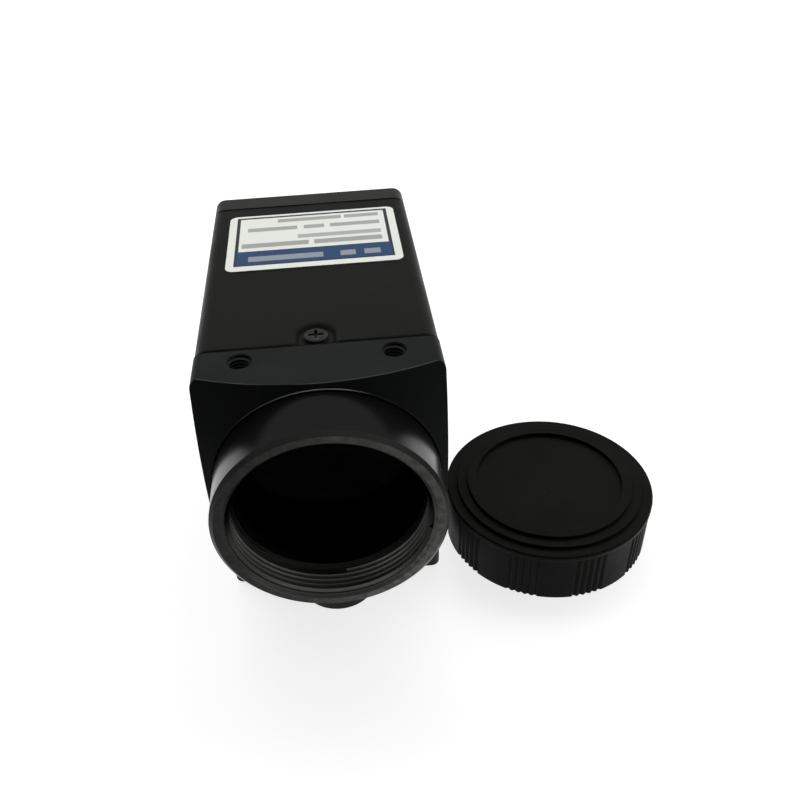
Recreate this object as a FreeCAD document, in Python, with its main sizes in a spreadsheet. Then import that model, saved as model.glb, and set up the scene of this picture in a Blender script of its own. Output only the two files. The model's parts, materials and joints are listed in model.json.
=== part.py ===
import FreeCAD, Part
import os
import re
import Sketcher

# Block-type machine vision camera with a threaded lens mount, on a mounting base, with its dust cap
# lying beside it. Millimetres. The origin is on the lens axis at the front face of the lens mount ring
# (the flange); +Y runs back into the camera, +X is to the right seen from the front, and +Z is up.

# Driving dimensions: one named value for each size that can be set by itself.
DIMENSIONS = [
    # lens mount ring and filter
    ("flange_focal", 17.526),          # flange to the sensor's picture plane
    ("thread_diameter", 25.4),         # major diameter of the lens thread
    ("thread_depth", 5.2),             # flange to the end of the thread
    ("mouth_chamfer", 0.45),
    ("ring_wall", 1.9),                # round the thread
    ("rim_chamfer", 0.5),
    ("ring_length", 12.0),             # flange to the ring's seat in the block
    ("throat_shoulder", 0.5),          # the bore behind the thread is this much smaller, each side
    ("glass_rebate", 0.6),             # the glass is this much wider than that bore, each side
    ("glass_thickness", 1.1),
    ("glass_setback", 8.9),            # flange to the front of the filter glass
    ("glass_fit", 0.1),                # round the glass, on the radius
    ("retainer_wall", 1.0),
    ("spanner_slot", 1.4),
    # front block
    ("body_size", 31.0),               # width and height
    ("edge_radius", 1.4),
    ("dome_setback", 5.2),             # flange to where the dome would cross the lens axis
    ("dome_radius", 41.7),
    ("land_setback", 7.8),            # flange to the raised land round the ring
    ("land_width", 0.2),
    ("block_setback", 16.7),           # flange to the rear face of the block
    ("ring_gap", 0.06),                # round the ring in the block, on the radius
    ("aperture_lip", 0.2),             # the block's hole is this much smaller than the retainer's
    ("side_hole_diameter", 3.0),
    ("side_hole_depth", 4.0),
    ("side_hole_chamfer", 0.15),
    ("side_hole_spacing", 19.0),
    ("side_hole_inset", 2.6),          # hole centre to the block's rear face
    ("block_tapping", 3.6),            # depth of the board-post threads in the block
    ("spigot_reach", 5.0),
    ("spigot_wall", 2.4),
    # cover
    ("cover_step", 0.03),              # the cover lies this far inside the block's outline
    ("cover_wall", 1.0),
    ("cover_radius", 1.7),
    ("cover_joint", 0.15),             # open joint between the block and the cover
    ("cover_length", 41.15),
    ("slide_fit", 0.05),               # between the cover and what it slides over, each side
    ("dimple_width", 4.2),
    ("dimple_depth", 0.55),
    ("dimple_slope", 54.0),            # degrees from upright
    ("dimple_soft", 1.0),              # rounding at the dimple's rim
    ("dimple_bulge", 0.7),             # the pressed metal is this much wider inside, each side
    ("dimple_fit", 0.15),
    ("cover_screw_inset", 2.2),        # screw centre to the block's rear face
    ("cover_screw_head", 3.1),
    ("cover_screw_head_height", 0.55),
    ("cover_screw_reach", 2.5),
    # small screws and posts: one thread throughout
    ("small_thread", 2.0),
    ("thread_fit", 0.05),              # between a screw and its tapped hole, on the radius
    ("through_fit", 0.15),             # between a screw and a through hole, on the radius
    ("screw_edge", 0.15),
    ("cross_width", 0.5),
    ("cross_depth", 0.45),
    # label
    ("label_width", 25.7),
    ("label_length", 18.0),
    ("label_thickness", 0.12),
    ("label_radius", 1.2),
    ("label_shift", 0.35),
    ("label_inset", 3.1),              # label to the rear end of the cover
    # rear cap
    ("seal_thickness", 0.3),
    ("seal_inset", 0.45),
    ("rear_plate", 4.3),
    ("rear_web", 3.3),                 # what is left of the plate behind its hollow
    ("rear_rim_radius", 0.5),
    ("rear_spigot_reach", 3.0),
    ("rear_spigot_wall", 1.5),
    ("rear_screw_head", 3.8),
    ("rear_screw_head_height", 1.2),
    ("rear_screw_sink", 1.4),
    ("rear_screw_reach", 5.0),
    ("head_fit", 0.2),                 # round a sunk screw head, on the radius
    # boards and what carries them
    ("post_inset", 2.4),               # centres of the four board posts to the sensor board's edges
    ("post_across_flats", 3.6),
    ("post_stud", 3.0),                # how far a stud goes into what holds it
    ("post_bore_depth", 4.5),
    ("spacer_length", 2.5),
    ("front_post_length", 10.0),
    ("mid_post_length", 10.0),
    ("board_thickness", 1.2),
    ("board_gap", 1.35),               # round the other boards, inside the cover
    ("board_fit", 0.2),                # between the sensor board and the spigot round it
    ("sensor_width", 14.0),
    ("sensor_window_width", 11.0),
    ("sensor_window_thickness", 0.6),
    ("sensor_ledge", 0.7),
    ("sensor_clear", 0.3),             # round the sensor's corners in the block's hole
    ("sensor_well_depth", 0.9),
    ("chip_width", 12.0),
    ("chip_thickness", 1.6),
    ("header_width", 3.4),
    ("header_inset", 4.0),             # middle of a plug strip to the board's edge
    ("header_gap", 1.2),               # between a plug strip and the posts
    ("capacitor_diameter", 5.0),
    ("capacitor_height", 6.2),
    ("capacitor_spacing", 7.0),
    ("capacitor_gap", 0.7),            # below the upper posts
    # rear cable receptacle
    ("shell_diameter", 10.0),
    ("shell_fit", 0.1),
    ("shell_flange_diameter", 12.8),
    ("shell_flange_thickness", 2.6),
    ("shell_flange_edge", 0.4),
    ("socket_diameter", 8.6),
    ("socket_depth", 7.6),
    ("socket_key", 0.8),
    ("gasket_thickness", 0.5),
    ("gasket_width", 1.1),
    ("nut_across_flats", 12.6),
    ("nut_thickness", 2.0),
    ("insert_thickness", 3.0),
    ("insert_fit", 0.05),
    ("pin_diameter", 0.8),
    ("pin_length", 3.2),               # standing out of the insert
    ("pin_circle", 5.0),
    ("solder_board_diameter", 14.0),
    ("solder_board_gap", 1.0),
    ("flex_width", 9.0),
    ("flex_thickness", 0.3),
    ("flex_tail", 1.2),
    ("flex_drop", 4.0),                # run of the flex below the lens axis
    # mounting base
    ("base_height", 9.0),
    ("base_front", 14.3),              # flange to the base's straight front edge
    ("base_length", 32.0),
    ("base_radius", 1.3),
    ("base_edge", 0.15),
    ("base_relief", 0.5),
    ("base_land", 3.0),
    ("lug_radius", 3.4),
    ("lug_thickness", 5.0),
    ("boss_diameter", 11.2),
    ("boss_setback", 13.05),
    ("tripod_diameter", 6.35),
    ("tripod_depth", 6.5),
    ("tripod_mouth", 0.4),
    ("tripod_insert_diameter", 8.4),
    ("base_screw_head", 5.5),
    ("base_screw_head_height", 2.0),
    ("base_screw_reach", 3.6),         # into the block
    ("base_cross_width", 0.9),
    ("base_cross_depth", 1.1),
    # dust cap
    ("cap_gap", 2.1),                  # between the body's side and the cap
    ("cap_y", 21.4),
    ("cap_wall", 0.7),
    ("cap_rim_height", 8.5),
    ("cap_fit", 0.05),                 # over the lens mount ring, on the radius
    ("cap_lid", 1.6),                  # thickness of the lid at its rim
    ("cap_lip", 0.12),                 # the lid stands this far proud of the grip
    ("cap_lip_height", 0.8),
    ("cap_step_height", 0.5),
    ("cap_first_step", 27.6),          # diameters of the two steps and the middle recess
    ("cap_second_step", 24.6),
    ("cap_recess", 21.8),
    ("cap_recess_depth", 0.6),
    ("cap_edge", 0.2),
    ("grip_groove_width", 0.8),
    ("grip_groove_depth", 0.25),
    ("grip_groove_pitch", 3.7),        # degrees
    ("grip_middle", 28.6),             # degrees, middle of the first group of grooves
]
POSTS = 4
PINS = 6
GRIP_GROUPS = 10
GRIP_GROOVES = 5

# Places and sizes that follow from the driving dimensions, each written once.
DERIVED = {
    "half_body": "(body_size / 2)",
    "ring_radius": "(thread_diameter / 2 + ring_wall)",
    "throat_radius": "(thread_diameter / 2 - throat_shoulder)",
    "glass_radius": "(throat_radius + glass_rebate)",
    "retainer_radius": "(glass_radius - retainer_wall)",
    "retainer_start": "(glass_setback + glass_thickness)",
    "aperture_radius": "max(retainer_radius - aperture_lip; sensor_width / 2 * sqrt(2) + sensor_clear)",
    "seat_radius": "(ring_radius + ring_gap)",
    "land_radius": "(seat_radius + land_width)",
    "dome_reach": "(body_size * 0.75)",
    "side_hole_y": "(block_setback - side_hole_inset)",
    "side_hole_x": "(side_hole_spacing / 2)",
    "side_hole_radius": "(side_hole_diameter / 2)",
    "cover_half": "(half_body - cover_step)",
    "inner_half": "(cover_half - cover_wall)",
    "inner_size": "(2 * inner_half)",
    "inner_radius": "(cover_radius - cover_wall)",
    "spigot_half": "(inner_half - slide_fit)",
    "spigot_size": "(2 * spigot_half)",
    "cover_start": "(block_setback + cover_joint)",
    "cover_end": "(cover_start + cover_length)",
    "cover_screw_y": "(block_setback + cover_screw_inset)",
    "dimple_floor": "(cover_half - dimple_depth)",
    "bulge_level": "(dimple_floor - cover_wall)",
    "bulge_half": "(dimple_width / 2 + dimple_bulge)",
    "rear_start": "(cover_end + seal_thickness)",
    "rear_end": "(rear_start + rear_plate)",
    "web_front": "(rear_end - rear_web)",
    "screw_radius": "(small_thread / 2)",
    "tapped_radius": "(screw_radius + thread_fit)",
    "through_radius": "(screw_radius + through_fit)",
    "sensor_board_size": "(spigot_size - 2 * spigot_wall - 2 * board_fit)",
    "board_size": "(inner_size - 2 * board_gap)",
    "post_at": "(sensor_board_size / 2 - post_inset)",
    "post_corner": "(post_across_flats / 2 / cos(30))",
    "sensor_board_y": "(block_setback + spacer_length)",
    "front_post_y": "(sensor_board_y + board_thickness)",
    "main_board_y": "(front_post_y + front_post_length)",
    "mid_post_y": "(main_board_y + board_thickness)",
    "interface_board_y": "(mid_post_y + mid_post_length)",
    "rear_post_y": "(interface_board_y + board_thickness)",
    "sensor_front": "(flange_focal - sensor_well_depth)",
    "header_middle": "(board_size / 2 - header_inset)",
    "header_half": "(post_at - post_corner - header_gap)",
    "capacitor_rise": "(post_at - post_corner - capacitor_gap - capacitor_diameter / 2)",
    "shell_radius": "(shell_diameter / 2)",
    "shell_hole": "(shell_radius + shell_fit)",
    "socket_radius": "(socket_diameter / 2)",
    "gasket_end": "(rear_end + gasket_thickness)",
    "socket_mouth": "(gasket_end + shell_flange_thickness)",
    "socket_floor": "(socket_mouth - socket_depth)",
    "insert_end": "(socket_floor - insert_thickness)",
    "solder_board_y": "(insert_end - solder_board_gap - board_thickness)",
    "floor_level": "(-half_body - base_height)",
    "lug_bottom": "(-half_body - lug_thickness)",
    "cap_bore": "(ring_radius + cap_fit)",
    "grip_radius": "(cap_bore + cap_wall)",
    "cap_radius": "(grip_radius + cap_lip)",
    "cap_x": "(half_body + cap_gap + cap_radius)",
    "lip_start": "(cap_rim_height - cap_lip_height)",
    "cap_top": "(cap_rim_height + 2 * cap_step_height)",
}
NAME = re.compile(r"[a-z][a-z_]*")
ALIASES = {alias for alias, _ in DIMENSIONS}

doc = FreeCAD.newDocument("machine_vision_camera")
sheet = doc.addObject("Spreadsheet::Sheet", "Sizes")
for row, (alias, number) in enumerate(DIMENSIONS, start=1):
    sheet.set("A%d" % row, alias.replace("_", " "))
    sheet.set("B%d" % row, str(number))
    sheet.setAlias("B%d" % row, alias)
doc.recompute()


def linked(formula):
    """A formula of named sizes, written out as an expression that reads the sheet."""
    def swap(match):
        name = match.group(0)
        if name in DERIVED:
            return linked(DERIVED[name])
        return "Sizes." + name if name in ALIASES else name
    return NAME.sub(swap, formula)


def value(formula):
    """The number that a formula of named sizes gives."""
    return float(sheet.evalExpression(linked(formula)))


# ---- sketches -------------------------------------------------------------------------------------
# A sketch lies across one axis: "X" has Y across and Z up, "Y" has X across and Z up, and "Z" has
# X across and Y up. FreeCAD's XZ plane faces -Y, so that one counts as turned round.
PLANES = {"X": ("YZ_Plane", 1), "Y": ("XZ_Plane", -1), "Z": ("XY_Plane", 1)}
facing = {}


def origin_item(body, role):
    return [item for item in body.Origin.OriginFeatures if item.Role == role][0]


def new_body(label):
    body = doc.addObject("PartDesign::Body", label)
    body.Label = label
    return body


def new_sketch(body, axis, level="0"):
    """A sketch across an axis, at a level along it."""
    role, sign = PLANES[axis]
    sketch = body.newObject("Sketcher::SketchObject", body.Label + "_sketch")
    sketch.AttachmentSupport = (origin_item(body, role), "")
    sketch.MapMode = "FlatFace"
    sketch.setExpression("AttachmentOffset.Base.z", linked("%d * (%s)" % (sign, level)))
    facing[sketch.Name] = sign
    return sketch


def hold(sketch, kind, formula, *where):
    """Add a dimension that follows a formula."""
    index = sketch.addConstraint(Sketcher.Constraint(kind, *where, value(formula)))
    sketch.setExpression("Constraints[%d]" % index, linked(formula))


def pin(sketch, curve, end, across, up):
    """Hold a point of the sketch at a place given by two formulas."""
    hold(sketch, "DistanceX", across, curve, end)
    hold(sketch, "DistanceY", up, curve, end)


def spot(across, up):
    return FreeCAD.Vector(value(across), value(up), 0)


def outline(sketch, points):
    """A closed outline of straight lines through points given by formulas."""
    spots = [spot(across, up) for across, up in points]
    curves = [sketch.addGeometry(Part.LineSegment(here, there), False)
              for here, there in zip(spots, spots[1:] + spots[:1])]
    for curve, following in zip(curves, curves[1:] + curves[:1]):
        sketch.addConstraint(Sketcher.Constraint("Coincident", curve, 2, following, 1))
    for curve, (across, up) in zip(curves, points):
        pin(sketch, curve, 1, across, up)
    return sketch


def rectangle(sketch, low_across, high_across, low_up, high_up):
    return outline(sketch, [(low_across, low_up), (high_across, low_up),
                            (high_across, high_up), (low_across, high_up)])


def square(sketch, half, other=None):
    """A square about the sketch's origin from its half width, or a rectangle from two."""
    return rectangle(sketch, "-(%s)" % half, half, "-(%s)" % (other or half), other or half)


def circle(sketch, across, up, radius):
    curve = sketch.addGeometry(Part.Circle(spot(across, up), FreeCAD.Vector(0, 0, 1), value(radius)), False)
    pin(sketch, curve, 3, across, up)
    hold(sketch, "Radius", radius, curve)
    return sketch


def hexagon(sketch, across, up, flats):
    corners = [("%s + %s / 2 / cos(30) * cos(%d)" % (across, flats, 60 * corner),
                "%s + %s / 2 / cos(30) * sin(%d)" % (up, flats, 60 * corner)) for corner in range(6)]
    return outline(sketch, corners)


def cross(sketch, across, up, reach, width):
    """The outline of a cross recess: four arms of a width, each reaching as far from the middle."""
    arms = []
    for side_across, side_up in ((1, -1), (1, 1), (-1, 1), (-1, -1)):
        corner = [(reach, "(%s) / 2" % width), ("(%s) / 2" % width,) * 2, ("(%s) / 2" % width, reach)]
        if side_across * side_up < 0:
            corner.reverse()
        arms += [("%s + %d * (%s)" % (across, side_across, a), "%s + %d * (%s)" % (up, side_up, b))
                 for a, b in corner]
    return outline(sketch, arms)


def tongue(sketch, middle, half, end):
    """A half-round end behind the point (0, middle), with straight sides running forward to end."""
    around = Part.Circle(spot("0", middle), FreeCAD.Vector(0, 0, 1), value(half))
    arc = sketch.addGeometry(Part.ArcOfCircle(around, 0, 3.141592653589793), False)
    near, far = value(end), value(middle)
    wide = value(half)
    corners = [(-wide, far), (-wide, near), (wide, near), (wide, far)]
    sides = [sketch.addGeometry(Part.LineSegment(FreeCAD.Vector(*here, 0), FreeCAD.Vector(*there, 0)), False)
             for here, there in zip(corners, corners[1:])]
    loop = [arc] + sides
    for curve, following in zip(loop, loop[1:] + loop[:1]):
        sketch.addConstraint(Sketcher.Constraint("Coincident", curve, 2, following, 1))
    pin(sketch, arc, 3, "0", middle)
    pin(sketch, arc, 1, half, middle)
    sketch.addConstraint(Sketcher.Constraint("Horizontal", arc, 2, arc, 3))
    pin(sketch, sides[0], 2, "-(%s)" % half, end)
    pin(sketch, sides[1], 2, half, end)
    return sketch


# ---- features -------------------------------------------------------------------------------------
def recomputed_volume(body):
    doc.recompute()
    return body.Shape.Volume if body.Tip else 0.0


def pad(body, sketch, length, towards=1):
    """Add material from a sketch along its axis: towards +1 or -1."""
    feature = body.newObject("PartDesign::Pad", body.Label + "_pad")
    feature.Profile = sketch
    feature.setExpression("Length", linked(length))
    feature.Reversed = towards != facing[sketch.Name]
    doc.recompute()
    return feature


def must_remove(body, feature, before):
    """Stop if a cut took nothing away."""
    if recomputed_volume(body) > before - 1e-6:
        raise RuntimeError("%s cuts nothing" % feature.Label)
    return feature


def pocket(body, sketch, length, towards=1, slope=None):
    """Take material away from a sketch along its axis: towards +1 or -1."""
    before = recomputed_volume(body)
    feature = body.newObject("PartDesign::Pocket", body.Label + "_pocket")
    feature.Profile = sketch
    feature.setExpression("Length", linked(length))
    feature.Reversed = towards == facing[sketch.Name]
    if slope:
        feature.setExpression("TaperAngle", linked(slope))
    return must_remove(body, feature, before)


def turned(body, axis, across, up, points):
    """Turn an outline of (place along the axis, radius) points about a line parallel to Y or Z.

    The line passes X = across, and Z = up for a Y line or Y = up for a Z line.
    """
    sketch = new_sketch(body, "X", across)
    if axis == "Y":
        line = [("0", up), ("1", up)]
        points = [(along, "%s + %s" % (up, radius)) for along, radius in points]
    else:
        line = [(up, "0"), (up, "1")]
        points = [("%s + %s" % (up, radius), along) for along, radius in points]
    centre = sketch.addGeometry(Part.LineSegment(spot(*line[0]), spot(*line[1])), True)
    pin(sketch, centre, 1, *line[0])
    pin(sketch, centre, 2, *line[1])
    outline(sketch, points)
    feature = body.newObject("PartDesign::Revolution", body.Label + "_turn")
    feature.Profile = sketch
    feature.ReferenceAxis = (sketch, ["Axis0"])
    feature.Angle = 360
    doc.recompute()
    return feature


def repeat_round(body, features, axis_role, count):
    """Repeat features in equal steps about one of the body's own axes."""
    pattern = body.newObject("PartDesign::PolarPattern", body.Label + "_pattern")
    pattern.Originals = features
    pattern.Axis = (origin_item(body, axis_role), [""])
    pattern.Angle = 360
    pattern.Occurrences = count
    body.Tip = pattern
    doc.recompute()
    return pattern


def mirror(body, features, plane_role):
    """Repeat features on the other side of one of the body's own planes."""
    pattern = body.newObject("PartDesign::Mirrored", body.Label + "_mirror")
    pattern.Originals = features
    pattern.MirrorPlane = (origin_item(body, plane_role), [""])
    body.Tip = pattern
    doc.recompute()
    return pattern


def dress(body, kind, size_property, size, wanted):
    """Round or bevel the edges that a test picks out."""
    doc.recompute()
    base = body.Tip
    names = ["Edge%d" % (index + 1) for index, edge in enumerate(base.Shape.Edges) if wanted(edge)]
    if not names:
        raise RuntimeError("%s has no edge to %s" % (body.Label, kind))
    feature = body.newObject("PartDesign::" + kind, body.Label + "_" + kind.lower())
    feature.Base = (base, names)
    feature.setExpression(size_property, linked(size))
    doc.recompute()
    return feature


def round_edges(body, radius, wanted):
    return dress(body, "Fillet", "Radius", radius, wanted)


def bevel_edges(body, size, wanted):
    return dress(body, "Chamfer", "Size", size, wanted)


def runs_along(axis, **places):
    """A test for straight edges along an axis, at given distances from the other two (x=..., z=...)."""
    def test(edge):
        box = edge.BoundBox
        lengths = {"x": box.XLength, "y": box.YLength, "z": box.ZLength}
        along = lengths.pop(axis)
        middle = {"x": box.Center.x, "y": box.Center.y, "z": box.Center.z}
        fits = all(abs(abs(middle[name]) - place) < 1e-4 for name, place in places.items())
        return along > 1e-4 and max(lengths.values()) < 1e-4 and fits
    return test


def lies_at(axis, level, tolerance=1e-4):
    """A test for edges that lie at one level along an axis."""
    low, high = axis.upper() + "Min", axis.upper() + "Max"

    def test(edge):
        box = edge.BoundBox
        return abs(getattr(box, low) - level) < tolerance and abs(getattr(box, high) - level) < tolerance
    return test


# ---- lens mount -----------------------------------------------------------------------------------
def lens_mount_ring():
    body = new_body("lens_mount_ring")
    seat = "glass_radius + glass_fit"
    turned(body, "Y", "0", "0", [
        ("0", "thread_diameter / 2 + mouth_chamfer"), ("0", "ring_radius - rim_chamfer"),
        ("rim_chamfer", "ring_radius"), ("ring_length", "ring_radius"),
        ("ring_length", seat), ("glass_setback", seat),
        ("glass_setback", "throat_radius"), ("thread_depth", "throat_radius"),
        ("thread_depth", "thread_diameter / 2"), ("mouth_chamfer", "thread_diameter / 2")])
    return body


def filter_glass():
    glass = doc.addObject("Part::Cylinder", "filter_glass")
    glass.Label = "filter_glass"
    glass.setExpression("Radius", linked("glass_radius"))
    glass.setExpression("Height", linked("glass_thickness"))
    glass.Placement.Rotation = FreeCAD.Rotation(FreeCAD.Vector(1, 0, 0), -90)
    glass.setExpression("Placement.Base.y", linked("glass_setback"))
    return glass


def filter_retainer():
    """Threaded ring behind the glass, with two slots for a spanner."""
    body = new_body("filter_retainer")
    turned(body, "Y", "0", "0", [
        ("retainer_start", "retainer_radius"), ("retainer_start", "glass_radius"),
        ("ring_length", "glass_radius"), ("ring_length", "retainer_radius")])
    slot = square(new_sketch(body, "Y", "ring_length"), "ring_radius", "spanner_slot / 2")
    pocket(body, slot, "(ring_length - retainer_start) / 2", towards=-1)
    return body


# ---- front block ----------------------------------------------------------------------------------
def dome_outline(sketch):
    """What is cut away in front of the domed face, from the land round the ring outwards."""
    inner, outer = value("land_radius"), value("dome_reach")
    centre, radius = value("dome_setback + dome_radius"), value("dome_radius")
    clear = value("land_setback - land_width")
    near = [centre - (radius ** 2 - up ** 2) ** 0.5 for up in (inner, outer)]
    ball = Part.Circle(FreeCAD.Vector(centre, 0, 0), FreeCAD.Vector(0, 0, 1), radius)
    start, end = [ball.parameter(FreeCAD.Vector(y, up, 0)) for y, up in ((near[1], outer), (near[0], inner))]
    arc = sketch.addGeometry(Part.ArcOfCircle(ball, start, end), False)
    corners = [(near[0], inner), (clear, inner), (clear, outer), (near[1], outer)]
    sides = [sketch.addGeometry(Part.LineSegment(FreeCAD.Vector(*here, 0), FreeCAD.Vector(*there, 0)), False)
             for here, there in zip(corners, corners[1:])]
    loop = [arc] + sides
    for curve, following in zip(loop, loop[1:] + loop[:1]):
        sketch.addConstraint(Sketcher.Constraint("Coincident", curve, 2, following, 1))
    pin(sketch, arc, 3, "dome_setback + dome_radius", "0")
    hold(sketch, "Radius", "dome_radius", arc)
    hold(sketch, "DistanceY", "land_radius", arc, 2)
    hold(sketch, "DistanceY", "dome_reach", arc, 1)
    pin(sketch, sides[0], 2, "land_setback - land_width", "land_radius")
    pin(sketch, sides[1], 2, "land_setback - land_width", "dome_reach")


def front_block():
    """Square block with a domed face, the ring's seat, tapped holes and the spigot for the cover."""
    body = new_body("front_block")
    pad(body, square(new_sketch(body, "Y", "land_setback"), "half_body"), "block_setback - land_setback")
    round_edges(body, "edge_radius", runs_along("y"))
    sketch = new_sketch(body, "X")
    dome_outline(sketch)
    before = recomputed_volume(body)
    dome = body.newObject("PartDesign::Groove", "front_block_dome")
    dome.Profile = sketch
    dome.ReferenceAxis = (sketch, ["H_Axis"])
    dome.Angle = 360
    must_remove(body, dome, before)
    seat = circle(new_sketch(body, "Y", "land_setback"), "0", "0", "seat_radius")
    pocket(body, seat, "ring_length - land_setback", towards=1)
    aperture = circle(new_sketch(body, "Y", "ring_length"), "0", "0", "aperture_radius")
    pocket(body, aperture, "block_setback - ring_length", towards=1)

    spigot = square(new_sketch(body, "Y", "block_setback"), "spigot_half")
    square(spigot, "(spigot_half - spigot_wall)")
    pad(body, spigot, "spigot_reach")
    round_edges(body, "inner_radius", runs_along("y", x=value("spigot_half"), z=value("spigot_half")))

    notch = rectangle(new_sketch(body, "Y", "block_setback + spigot_reach"), "-(bulge_half + dimple_fit)",
                      "bulge_half + dimple_fit", "bulge_level - dimple_fit", "half_body")
    notched = pocket(body, notch, "spigot_reach", towards=-1)
    tapping = circle(new_sketch(body, "Z", "bulge_level - dimple_fit"), "0", "cover_screw_y", "tapped_radius")
    tapped = pocket(body, tapping, "spigot_wall", towards=-1)
    sides = new_sketch(body, "Z", "half_body")
    for sign in ("-", ""):
        circle(sides, sign + "side_hole_x", "side_hole_y", "side_hole_radius")
    drilled = pocket(body, sides, "side_hole_depth", towards=-1)
    mirror(body, [notched, tapped, drilled], "XY_Plane")

    post = circle(new_sketch(body, "Y", "block_setback"), "post_at", "post_at", "tapped_radius")
    repeat_round(body, [pocket(body, post, "block_tapping", towards=-1)], "Y_Axis", POSTS)
    top, radius = value("half_body"), value("side_hole_radius")
    bevel_edges(body, "side_hole_chamfer", lambda edge: (
        abs(abs(edge.BoundBox.Center.z) - top) < 1e-4 and abs(edge.BoundBox.XLength - 2 * radius) < 1e-4))
    return body


# ---- screws and posts -----------------------------------------------------------------------------
def screw(body, axis, across, up, seat, out, head, head_height, reach, radius, slot, depth):
    """A pan-headed screw with a cross recess; the head stands out from its seat towards +1 or -1."""
    crown = "%s + %d * (%s)" % (seat, out, head_height)
    edge = "%s + %d * (%s - screw_edge)" % (seat, out, head_height)
    tip = "%s - %d * (%s)" % (seat, out, reach)
    shank = turned(body, axis, across, up, [
        (tip, "0"), (tip, radius), (seat, radius), (seat, head + " / 2"), (edge, head + " / 2"),
        (crown, head + " / 2 - screw_edge"), (crown, "0")])
    recess = cross(new_sketch(body, axis, crown), across, up, head + " / 3", slot)
    return [shank, pocket(body, recess, depth, towards=-out)]


def cover_screws():
    body = new_body("cover_screws")
    mirror(body, screw(body, "Z", "0", "cover_screw_y", "dimple_floor", 1, "cover_screw_head",
                       "cover_screw_head_height", "cover_screw_reach", "screw_radius", "cross_width",
                       "cross_depth"), "XY_Plane")
    return body


def rear_screws():
    body = new_body("rear_screws")
    repeat_round(body, screw(body, "Y", "post_at", "post_at", "rear_end - rear_screw_sink", 1,
                             "rear_screw_head", "rear_screw_head_height", "rear_screw_reach",
                             "screw_radius", "cross_width", "cross_depth"), "Y_Axis", POSTS)
    return body


def base_screws():
    body = new_body("base_screws")
    mirror(body, screw(body, "Z", "side_hole_x", "side_hole_y", "lug_bottom", -1, "base_screw_head",
                       "base_screw_head_height", "lug_thickness + base_screw_reach",
                       "side_hole_radius - thread_fit", "base_cross_width", "base_cross_depth"),
           "YZ_Plane")
    return body


def posts(label, start, length, stud, bore):
    """Four hexagonal posts along Y, each with a stud in front and a tapped bore behind."""
    body = new_body(label)
    flats = hexagon(new_sketch(body, "Y", start), "post_at", "post_at", "post_across_flats")
    shaft = pad(body, flats, length)
    front = pad(body, circle(new_sketch(body, "Y", start), "post_at", "post_at", "screw_radius"),
                stud, towards=-1)
    end = "%s + %s" % (start, length)
    back = pocket(body, circle(new_sketch(body, "Y", end), "post_at", "post_at", "tapped_radius"),
                  bore, towards=-1)
    repeat_round(body, [shaft, front, back], "Y_Axis", POSTS)
    return body


def sensor_spacers():
    """Four plain sleeves between the block and the sensor board."""
    body = new_body("sensor_spacers")
    ring = circle(new_sketch(body, "Y", "block_setback"), "post_at", "post_at", "post_across_flats / 2")
    circle(ring, "post_at", "post_at", "through_radius")
    repeat_round(body, [pad(body, ring, "spacer_length")], "Y_Axis", POSTS)
    return body


# ---- boards ---------------------------------------------------------------------------------------
def board(label, level, width):
    """A square circuit board with four holes for the posts."""
    body = new_body(label)
    pad(body, square(new_sketch(body, "Y", level), width + " / 2"), "board_thickness")
    hole = circle(new_sketch(body, "Y", level), "post_at", "post_at", "through_radius")
    repeat_round(body, [pocket(body, hole, "board_thickness", towards=1)], "Y_Axis", POSTS)
    return body


def slab(label, level, width, thickness):
    """A plain square plate across the lens axis."""
    body = new_body(label)
    pad(body, square(new_sketch(body, "Y", level), width + " / 2"), thickness)
    return body


def image_sensor():
    """Ceramic package whose stepped well holds a window in front of the picture plane."""
    body = slab("image_sensor", "sensor_front", "sensor_width", "sensor_board_y - sensor_front")
    seat = square(new_sketch(body, "Y", "sensor_front"), "sensor_window_width / 2 + insert_fit")
    pocket(body, seat, "sensor_window_thickness", towards=1)
    well = square(new_sketch(body, "Y", "sensor_front"), "sensor_window_width / 2 - sensor_ledge")
    pocket(body, well, "sensor_well_depth", towards=1)
    return body


def board_headers():
    """Two plug strips in each of the two gaps between the boards."""
    body = new_body("board_headers")
    for level, length in (("front_post_y", "front_post_length"), ("mid_post_y", "mid_post_length")):
        strips = new_sketch(body, "Y", level)
        for sign in ("-", ""):
            middle = sign + "header_middle"
            rectangle(strips, middle + " - header_width / 2", middle + " + header_width / 2",
                      "-header_half", "header_half")
        pad(body, strips, length)
    return body


def capacitors():
    body = new_body("capacitors")
    cans = new_sketch(body, "Y", "rear_post_y")
    for step in (-1, 0, 1):
        circle(cans, "%d * capacitor_spacing" % step, "capacitor_rise", "capacitor_diameter / 2")
    pad(body, cans, "capacitor_height")
    return body


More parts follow.
